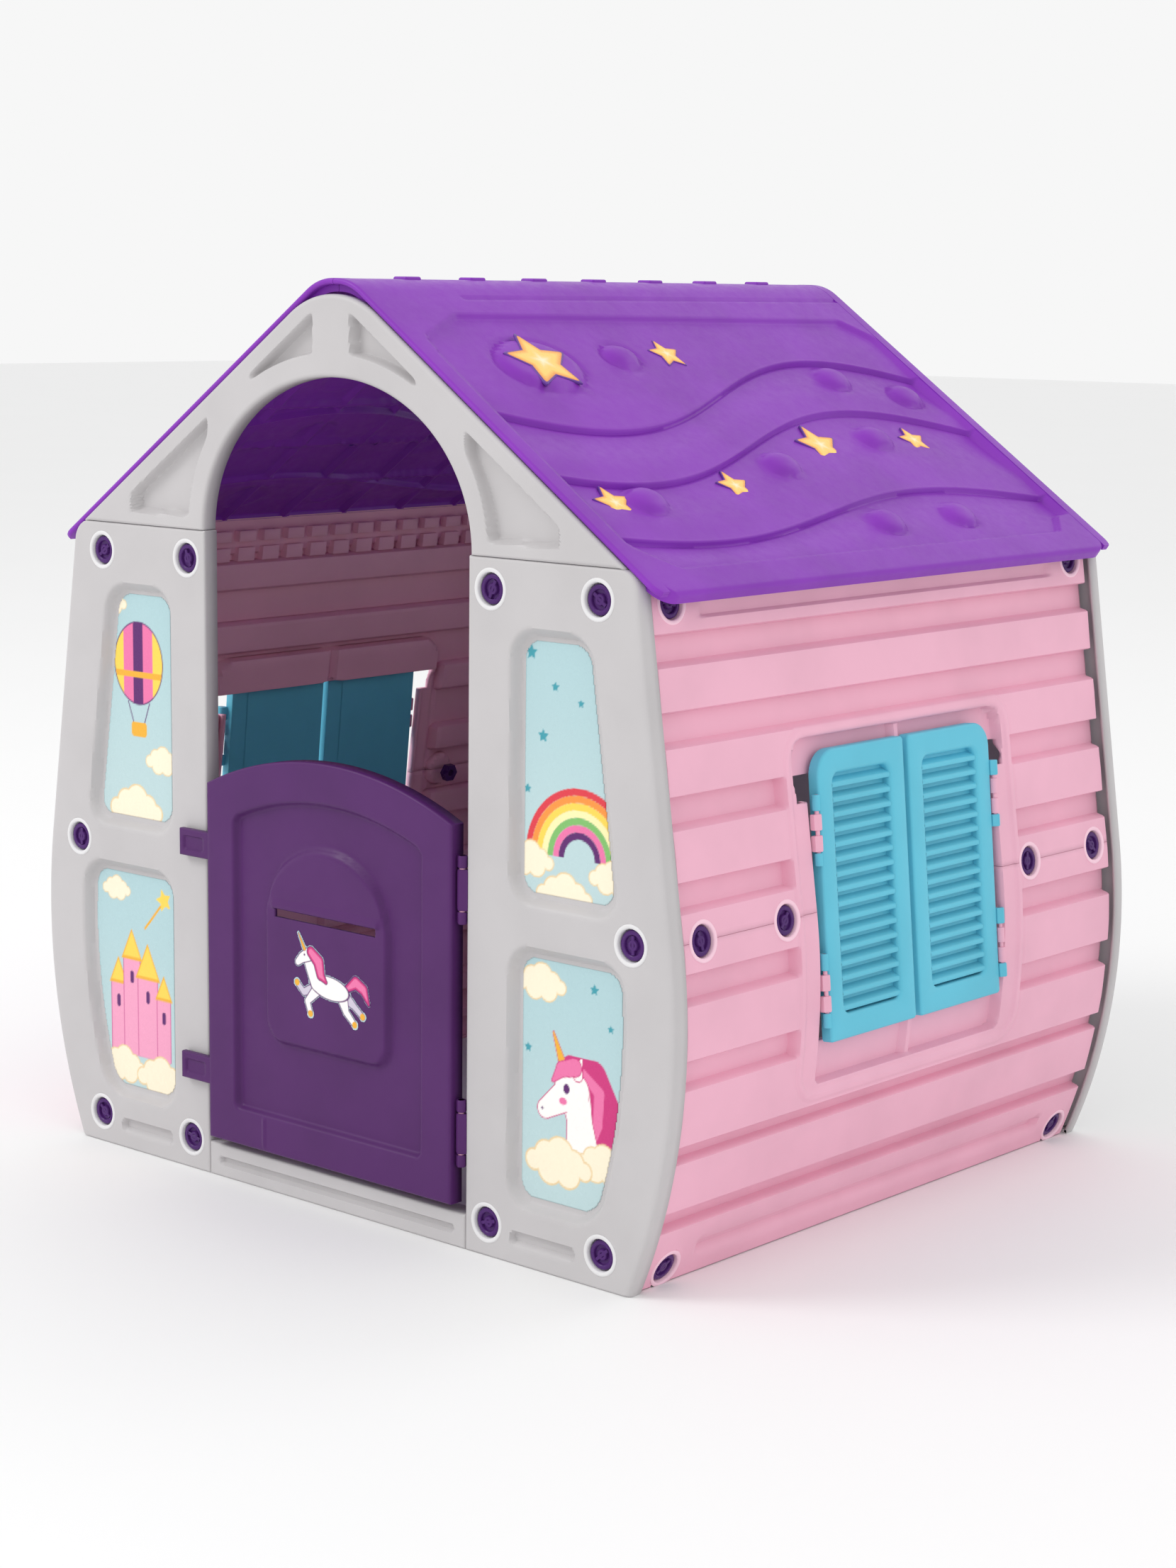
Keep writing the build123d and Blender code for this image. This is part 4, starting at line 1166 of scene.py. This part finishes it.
def starPart(midY, midS, radius, depth):
    # domed five-pointed star on the roof's slope, painted from a pale heart to an orange edge and violet rim
    angle = np.linspace(0, 2 * math.pi, 121)[:-1]
    share = np.array([0.004, 0.15, 0.3, 0.45, 0.6, 0.72, 0.82, 0.88, 0.92, 0.95, 0.99, 1.0, 1.0])
    high = np.array([2.0, 1.98, 1.93, 1.85, 1.75, 1.6, 1.5, 1.42, 1.3, 1.2, 0.9, 0.5, -1.5])
    reach = share[:, None] * starRadius(angle, radius)[None]
    y = midY + reach * np.sin(angle)
    s = midS - reach * np.cos(angle)
    points = roofPoint(y, s, depth - np.repeat(high[:, None], len(angle), 1))
    stop = [0.0, 0.35, 0.62, 0.88, 0.92, 1.0]
    bands = ("heart", "middle", "middle", "outer", "rim", "rim")
    table = np.array([screenColour(*starInk[band])[:3] for band in bands])
    ink = np.stack([np.interp(share, stop, table[:, c]) for c in range(3)], -1)
    return sheetPart(points, ink=np.repeat(ink[:, None], len(angle), 1), wrapCols=True)


def makeRoof():
    # right shell turned to the left, end strips, ridge bumps, and the stars on both slopes
    right = roofPart()
    makePiece("roof_right_shell", [right], finishes["roof"], "house", ("roof_right",), sharp=70)
    makePiece("roof_left_shell", [turnPart(right)], finishes["roof"], "house", ("roof_left",),
              sharp=70)
    step = 2 * roof["half"] / (roof["bumps"] + 1)
    bumps = []
    for i in range(roof["bumps"]):
        y = (i + 1) * step - roof["half"]
        bumps.append(blockPart((-11, y - 13, roofShape["ridge"] - 3), (11, y + 13, roofHigh[2]), 2.6))
    end = lipPart()
    ends = [end, flipPart(dict(end, points=end["points"] * [1, -1, 1]))]
    makePiece("roof_lips", ends + [turnPart(part) for part in ends], finishes["roof"], "house")
    makePiece("ridge_bumps", bumps, finishes["roof"], "house")
    parts = [starPart(y, s, radius, roofSink(np.array([float(y)]), np.array([float(s)]))[0] + 0.2)
             for y, s, radius in stars]
    parts.append(starPart(*bigOval, roof["bigStar"], roof["moat"] - roof["bigHigh"] + 0.3))
    makePiece("roof_stars", parts + [turnPart(p) for p in parts], finishes["sheet"], "house")
    print("roof made")


# colours of the printed films on the panel fields and the door
inks = dict(
    sky=(190, 214, 216), skyDeep=(150, 196, 206), cream=(250, 240, 214), creamEdge=(236, 208, 160),
    teal=(70, 158, 172), red=(222, 66, 78), orange=(244, 150, 70), yellow=(250, 214, 90), pale=(252, 240, 180),
    green=(130, 190, 110), pink=(236, 120, 170), rose=(206, 60, 126), plum=(96, 44, 110), white=(250, 247, 244),
    shade=(208, 200, 216), gold=(240, 178, 60), castle=(242, 164, 196), castleDark=(206, 104, 156),
)


def paint(ink, distance, colour, soft=0.9):
    # lays a colour where a signed distance is negative, blended over soft mm at its edge
    cover = np.clip(0.5 - distance / soft, 0, 1)[..., None]
    ink[:] = ink * (1 - cover) + np.array(screenColour(*inks[colour])[:3]) * cover


def disc(u, v, cu, cv, ru, rv=None, tilt=0.0):
    # signed distance to an ellipse about (cu, cv), turned by tilt
    rv = rv or ru
    c, s = math.cos(tilt), math.sin(tilt)
    a, b = (u - cu) * c + (v - cv) * s, (v - cv) * c - (u - cu) * s
    return (np.hypot(a / ru, b / rv) - 1) * min(ru, rv)


def limb(u, v, places, widths):
    # signed distance to a tapered round stroke through places: the nearest point on each straight piece, less
    # the half width there
    best = np.full_like(u, 1e6)
    for (a, b), (wa, wb) in zip(zip(places[:-1], places[1:]), zip(widths[:-1], widths[1:])):
        ax, ay, bx, by = *a, *b
        t = np.clip(((u - ax) * (bx - ax) + (v - ay) * (by - ay)) / ((bx - ax) ** 2 + (by - ay) ** 2), 0, 1)
        away = np.hypot(u - ax - t * (bx - ax), v - ay - t * (by - ay)) - (wa + t * (wb - wa))
        best = np.minimum(best, away)
    return best


def starField(u, v, cu, cv, radius, tilt=0.0):
    # signed distance to a star, nearly: distance from its centre less starRadius
    angle = np.arctan2(u - cu, v - cv) + tilt
    return (np.hypot(u - cu, v - cv) - starRadius(angle, radius)) * 0.8


def cloud(u, v, cu, cv, size):
    # signed distance to seven discs that make a cloud
    lobes = ((-1.5, -0.1, 0.55), (-0.75, 0.25, 0.75), (0.1, 0.4, 0.9), (0.95, 0.15, 0.7), (1.6, -0.1, 0.5),
             (-0.5, -0.35, 0.8), (0.6, -0.35, 0.8))
    return np.minimum.reduce([disc(u, v, cu + a * size, cv + b * size, r * size) for a, b, r in lobes])


def paintCloud(ink, u, v, cu, cv, size):
    # a cloud with a darker edge
    away = cloud(u, v, cu, cv, size)
    paint(ink, away, "creamEdge")
    paint(ink, away + size * 0.09, "cream")


def paintRainbow(ink, u, v, cu, cv, radius, band):
    # rings of a band's width, from the outside in, cut off below their centre
    for i, colour in enumerate(("red", "orange", "yellow", "pale", "green", "pink", "plum")):
        away = np.abs(np.hypot(u - cu, v - cv) - radius + i * band) - band / 2
        paint(ink, np.maximum(away, cv - v), colour)


def paintHorse(ink, u, v, cu, cv, size, facing):
    # leaping horse with a horn: u mirrored for facing, drawn from body, legs, neck, head, mane and tail strokes
    a, b = (u - cu) * facing / size, (v - cv) / size
    mane = limb(a, b, [(0.42, 0.62), (0.22, 0.46), (0.16, 0.22), (0.02, 0.10)], (0.10, 0.13, 0.10, 0.03))
    tail = limb(a, b, [(-0.52, 0.05), (-0.78, 0.22), (-0.98, 0.12), (-1.12, -0.14)], (0.05, 0.11, 0.10, 0.02))
    far = np.minimum(limb(a, b, [(0.30, -0.05), (0.62, -0.18), (0.80, -0.02)], (0.10, 0.06, 0.05)),
                     limb(a, b, [(-0.44, -0.05), (-0.74, -0.24), (-0.96, -0.40)], (0.13, 0.06, 0.05)))
    near = np.minimum(limb(a, b, [(0.26, -0.08), (0.52, -0.34), (0.44, -0.56)], (0.11, 0.06, 0.05)),
                      limb(a, b, [(-0.40, -0.06), (-0.52, -0.38), (-0.74, -0.58)], (0.15, 0.07, 0.05)))
    body = np.minimum(disc(a, b, -0.08, 0.0, 0.50, 0.21, 0.10),
                      limb(a, b, [(0.26, 0.06), (0.44, 0.34), (0.52, 0.52)], (0.17, 0.12, 0.11)))
    head = limb(a, b, [(0.50, 0.56), (0.66, 0.48), (0.78, 0.38)], (0.12, 0.09, 0.06))
    horn = limb(a, b, [(0.60, 0.66), (0.76, 0.94)], (0.035, 0.006))
    hooves = np.minimum.reduce([disc(a, b, x, z, 0.065) for x, z in
                                ((0.80, -0.02), (-0.96, -0.40), (0.44, -0.57), (-0.75, -0.59))])
    strokes = ((tail, "rose", 0.03), (tail + 0.035, "pink", 0), (far, "shade", 0.02), (near, "white", 0.02),
               (body, "white", 0.02), (head, "white", 0.02), (hooves, "gold", 0), (mane, "rose", 0.02),
               (mane + 0.04, "pink", 0), (horn, "gold", 0.01))
    for away, colour, edge in strokes:
        if edge:
            paint(ink, (away - edge) * size, "plum")
        paint(ink, away * size, colour)
    paint(ink, disc(a, b, 0.60, 0.545, 0.022) * size, "plum")
    return np.minimum.reduce([away - 0.03 for away, _, _ in strokes]) * size


def paintHead(ink, u, v, cu, cv, size):
    # horse's head looking left: mane behind, neck, cheek and muzzle, ear, horn, forelock and eye
    a, b = (u - cu) / size, (v - cv) / size
    mane = np.minimum.reduce([
        limb(a, b, [(0.02, 0.52), (0.42, 0.44), (0.62, 0.06), (0.56, -0.42), (0.70, -0.62)],
             (0.16, 0.24, 0.26, 0.20, 0.05)),
        limb(a, b, [(0.30, 0.30), (0.34, -0.20), (0.16, -0.56), (0.02, -0.62)], (0.2, 0.2, 0.14, 0.03))])
    stripe = limb(a, b, [(0.20, 0.50), (0.52, 0.24), (0.50, -0.20), (0.40, -0.56)], (0.05, 0.09, 0.08, 0.02))
    neck = limb(a, b, [(0.10, 0.16), (0.18, -0.20), (0.24, -0.62)], (0.26, 0.22, 0.28))
    cheek = np.minimum(disc(a, b, 0.04, 0.20, 0.30, 0.27), limb(a, b, [(-0.06, 0.12), (-0.44, -0.14)], (0.22, 0.13)))
    ear = limb(a, b, [(0.14, 0.42), (0.20, 0.64)], (0.08, 0.02))
    horn = limb(a, b, [(-0.10, 0.46), (-0.30, 0.94)], (0.075, 0.012))
    lock = limb(a, b, [(0.08, 0.52), (-0.14, 0.46), (-0.30, 0.28)], (0.12, 0.10, 0.02))
    strokes = ((mane, "rose", 0), (stripe, "pink", 0), (neck, "white", 0.015), (cheek, "white", 0.015),
               (neck + 0.03, "white", 0), (ear, "white", 0.015), (horn, "gold", 0.01), (lock, "pink", 0.015))
    for away, colour, edge in strokes:
        if edge:
            paint(ink, (away - edge) * size, "rose")
        paint(ink, away * size, colour)
    paint(ink, disc(a, b, -0.06, 0.20, 0.055, 0.07) * size, "plum")
    paint(ink, disc(a, b, -0.12, 0.02, 0.07, 0.05) * size, "pink")
    paint(ink, disc(a, b, -0.49, -0.14, 0.02) * size, "plum")


def upperRightArt(ink, u, v):
    # rainbow over three clouds, with scattered stars
    for x, z, r in ((300, 690, 9), (335, 655, 6), (398, 700, 8), (372, 640, 5), (318, 600, 8), (296, 540, 6)):
        paint(ink, starField(u, v, x, z, r), "teal")
    paintRainbow(ink, u, v, 372.0, 470.0, 74.0, 8.0)
    paintCloud(ink, u, v, 300, 462, 17)
    paintCloud(ink, u, v, 418, 455, 16)
    paintCloud(ink, u, v, 350, 428, 20)


def lowerRightArt(ink, u, v):
    # horned horse's head among clouds
    for x, z, r in ((396, 330, 7), (420, 290, 5), (300, 250, 6)):
        paint(ink, starField(u, v, x, z, r), "teal")
    paintCloud(ink, u, v, 318, 326, 18)
    paintHead(ink, u, v, 362, 196, 82)
    paintCloud(ink, u, v, 410, 136, 19)
    paintCloud(ink, u, v, 346, 126, 24)


def upperLeftArt(ink, u, v):
    # striped balloon with a basket, and clouds
    middle, stripe = -352, 18
    ball = disc(u, v, middle, 618, 44, 50)
    paint(ink, ball - 1.5, "plum")
    for i, colour in enumerate(("yellow", "pink", "plum", "pink", "yellow")):
        paint(ink, np.maximum(ball, np.abs(u - middle - (i - 2) * stripe) - stripe / 2 - 0.5), colour)
    paint(ink, np.maximum(ball, np.abs(v - 604) - 4), "gold")
    paint(ink, limb(u, v, [(-372, 570), (-362, 544)], (0.8, 0.8)), "plum")
    paint(ink, limb(u, v, [(-332, 570), (-342, 544)], (0.8, 0.8)), "plum")
    paint(ink, roundBox(14 - np.abs(u - middle), 9 - np.abs(v - 536), 4), "gold")
    paintCloud(ink, u, v, -400, 690, 13)
    paintCloud(ink, u, v, -310, 500, 15)
    paintCloud(ink, u, v, -360, 436, 24)


def lowerLeftArt(ink, u, v):
    # castle of four towers with pointed roofs, a wand with a star, and clouds
    low = 120
    for x, high, half in ((-398, 210, 13), (-372, 244, 15), (-342, 222, 18), (-312, 200, 12)):
        paint(ink, roundBox(half + 1.5 - np.abs(u - x), np.minimum(v - low, high + 1.5 - v), 2), "castleDark")
        paint(ink, roundBox(half - np.abs(u - x), np.minimum(v - low, high - v), 2), "castle")
        top = np.maximum(np.abs(u - x) * 2.0 + (v - high) - half * 2.4, high - v)
        paint(ink, top * 0.5 - 1, "gold")
        paint(ink, top * 0.5 + 1, "yellow")
        paint(ink, roundBox(3.5 - np.abs(u - x), 8 - np.abs(v - high + 24), 3.4), "plum")
    paint(ink, limb(u, v, [(-316, 318), (-346, 286)], (1.6, 1.6)), "gold")
    paint(ink, starField(u, v, -310, 326, 15, 0.3), "yellow")
    paintCloud(ink, u, v, -400, 330, 13)
    paintCloud(ink, u, v, -390, 104, 20)
    paintCloud(ink, u, v, -320, 98, 22)


film = dict(above=0.35, grid=1.5, margin=13.0, thick=0.3, doorGrid=0.8)
doorHorse = dict(x=4, z=272, size=62, facing=-1, half=76, low=208, high=340)


def filmPart(x, z, sunk, distance, art, ground):
    # thin sheet over a face sunk behind ground: kept where distance is negative, painted point by point
    gz, gx = np.meshgrid(z, x, indexing="ij")
    fade = 0.35 * smooth(z[0], z[-1], gz)[..., None]
    sky, skyDeep = (np.array(screenColour(*inks[name])[:3]) for name in ("sky", "skyDeep"))
    ink = sky * (1 - fade) + skyDeep * fade
    art(ink, gx, gz)
    points = np.stack([gx, np.full_like(gx, ground + sunk - film["above"]), gz], -1)
    away = distance(gx, gz)
    inside = (away[:-1, :-1] + away[1:, 1:]) / 2 < 0
    return sheetPart(points, inside, ink)


def horseArt(ink, u, v):
    # the door's leaping horse; it gives back the distance to its outline, where the film is cut
    h = doorHorse
    return paintHorse(ink, u, v, h["x"], h["z"], h["size"], h["facing"])


def makeFilms():
    # a film in each front field, and one cut to the horse's outline on the door
    gridX = np.arange(field["inner"] - 2, outlineX(house["bulgeHeight"]) - field["border"] + 2, film["grid"])
    arts = dict(right_upper=upperRightArt, right_lower=lowerRightArt, left_upper=upperLeftArt,
                left_lower=lowerLeftArt)
    for name, art in arts.items():
        side, half = name.split("_")
        heights = field[half]
        x = gridX if side == "right" else -gridX[::-1]
        z = np.arange(heights[0], heights[1] + 0.1, film["grid"])
        part = filmPart(x, z, field["depth"], lambda u, v: fieldDistance(np.abs(u), v, heights) + film["margin"],
                        art, house["front"])
        makePiece(name + "_film", [part], finishes["sheet"], "house", (name + "_decal",),
                  film["thick"], (0, -1, 0))
    h, step = doorHorse, film["doorGrid"]
    x, z = np.arange(-h["half"], h["half"] + 0.1, step), np.arange(h["low"], h["high"] + 0.1, step)
    part = filmPart(x, z, 0.0, lambda u, v: horseArt(np.zeros(u.shape + (3,)), u, v), horseArt, doorFront)
    makePiece("door_film", [part], finishes["sheet"], "door", ("door_decal",), film["thick"],
              (0, -1, 0))
    print("films made")


makeEndPanels()
makeGables()
makeSill()
makeInfill()
makeWalls()
makeShutters()
makeBolts()
makeDoor()
makeRoof()
makeFilms()

# CAD nodes that are seen as they are
kept = dict(door_pins="pink", left_shutter_pins="pink", right_shutter_pins="pink", front_nuts="bolt",
            rear_nuts="bolt", left_wall_nuts="bolt", right_wall_nuts="bolt")
for node, finish in kept.items():
    for slot in frame["nodes"][node].material_slots:
        slot.material = finishes[finish]
print("CAD nodes finished")


def plainSurface(name, colour, roughness):
    # matt surface with a faint slow mottling
    material = bpy.data.materials.new(name)
    material.use_nodes = True
    tree = material.node_tree
    place = addNode(tree, "ShaderNodeTexCoord")
    noise = addNode(tree, "ShaderNodeTexNoise", Scale=1.5, Detail=4.0)
    tree.links.new(place.outputs["Object"], noise.inputs["Vector"])
    mix = addNode(tree, "ShaderNodeMix", data_type="RGBA")
    mix.inputs[6].default_value = tuple(c * 0.985 for c in colour[:3]) + (1.0,)
    mix.inputs[7].default_value = colour
    tree.links.new(noise.outputs["Fac"], mix.inputs[0])
    shader = tree.nodes["Principled BSDF"]
    tree.links.new(mix.outputs[2], shader.inputs["Base Color"])
    shader.inputs["Roughness"].default_value = roughness
    return material


# in metres and watts
room = dict(
    floorSize=30.0, floorColour=(244, 244, 244), floorRoughness=0.7,
    air=(1.0, 1.0, 1.0), airPower=0.93,
    aim=(0, 0, 0.4),
    lamps=dict(
        key=dict(place=(-3.4, -4.6, 5.2), size=3.0, power=150.0),
        fill=dict(place=(5.0, -2.4, 2.6), size=4.0, power=16.0),
        back=dict(place=(2.0, 5.0, 4.6), size=3.5, power=24.0),
    ),
)


def makeRoom():
    # flat pale floor, even white air, and three soft round lamps that point at the house
    size = room["floorSize"]
    grid = np.linspace(-size, size, 9)
    gx, gy = np.meshgrid(grid, grid, indexing="ij")
    mesh = bpy.data.meshes.new("floor")
    points = np.stack([gx, gy, np.zeros_like(gx)], -1).reshape(-1, 3)
    mesh.from_pydata(points.tolist(), [], gridFaces(9, 9).tolist())
    mesh.materials.append(plainSurface("plainFloor", screenColour(*room["floorColour"]), room["floorRoughness"]))
    floor = bpy.data.objects.new("floor", mesh)
    bpy.context.scene.collection.objects.link(floor)
    world = bpy.data.worlds.new("air")
    bpy.context.scene.world = world
    bpy.context.scene.view_settings.view_transform = "Standard"
    world.use_nodes = True
    world.node_tree.nodes["Background"].inputs["Color"].default_value = room["air"] + (1.0,)
    world.node_tree.nodes["Background"].inputs["Strength"].default_value = room["airPower"]
    for name, values in room["lamps"].items():
        light = bpy.data.lights.new(name, "AREA")
        light.shape = "DISK"
        light.size = values["size"]
        light.energy = values["power"]
        lamp = bpy.data.objects.new(name, light)
        bpy.context.scene.collection.objects.link(lamp)
        lamp.location = values["place"]
        lamp.rotation_euler = (Vector(room["aim"]) - lamp.location).to_track_quat("-Z", "Y").to_euler()
    print("room made")


viewpoint = dict(turn=41.08, lift=9.44, tilt=0.68, distance=3.780, target=(0.001, 0.0, 0.458), lens=68.32)


def makeCamera():
    # turn round the house, lift above the floor and tilt about the line of sight, all in degrees
    v = viewpoint
    turn, lift, tilt = (math.radians(v[k]) for k in ("turn", "lift", "tilt"))
    back = Vector((math.sin(turn) * math.cos(lift), -math.cos(turn) * math.cos(lift), math.sin(lift)))
    right = (-back).cross(Vector((0, 0, 1))).normalized()
    up = right.cross(-back)
    across = math.cos(tilt) * right + math.sin(tilt) * up
    upward = -math.sin(tilt) * right + math.cos(tilt) * up
    data = bpy.data.cameras.new("camera")
    data.lens = v["lens"]
    camera = bpy.data.objects.new("camera", data)
    bpy.context.scene.collection.objects.link(camera)
    place = Vector(v["target"]) + back * v["distance"]
    camera.matrix_world = Matrix.Translation(place) @ Matrix((across, upward, back)).transposed().to_4x4()
    bpy.context.scene.camera = camera


makeRoom()
makeCamera()
bpy.context.view_layer.update()
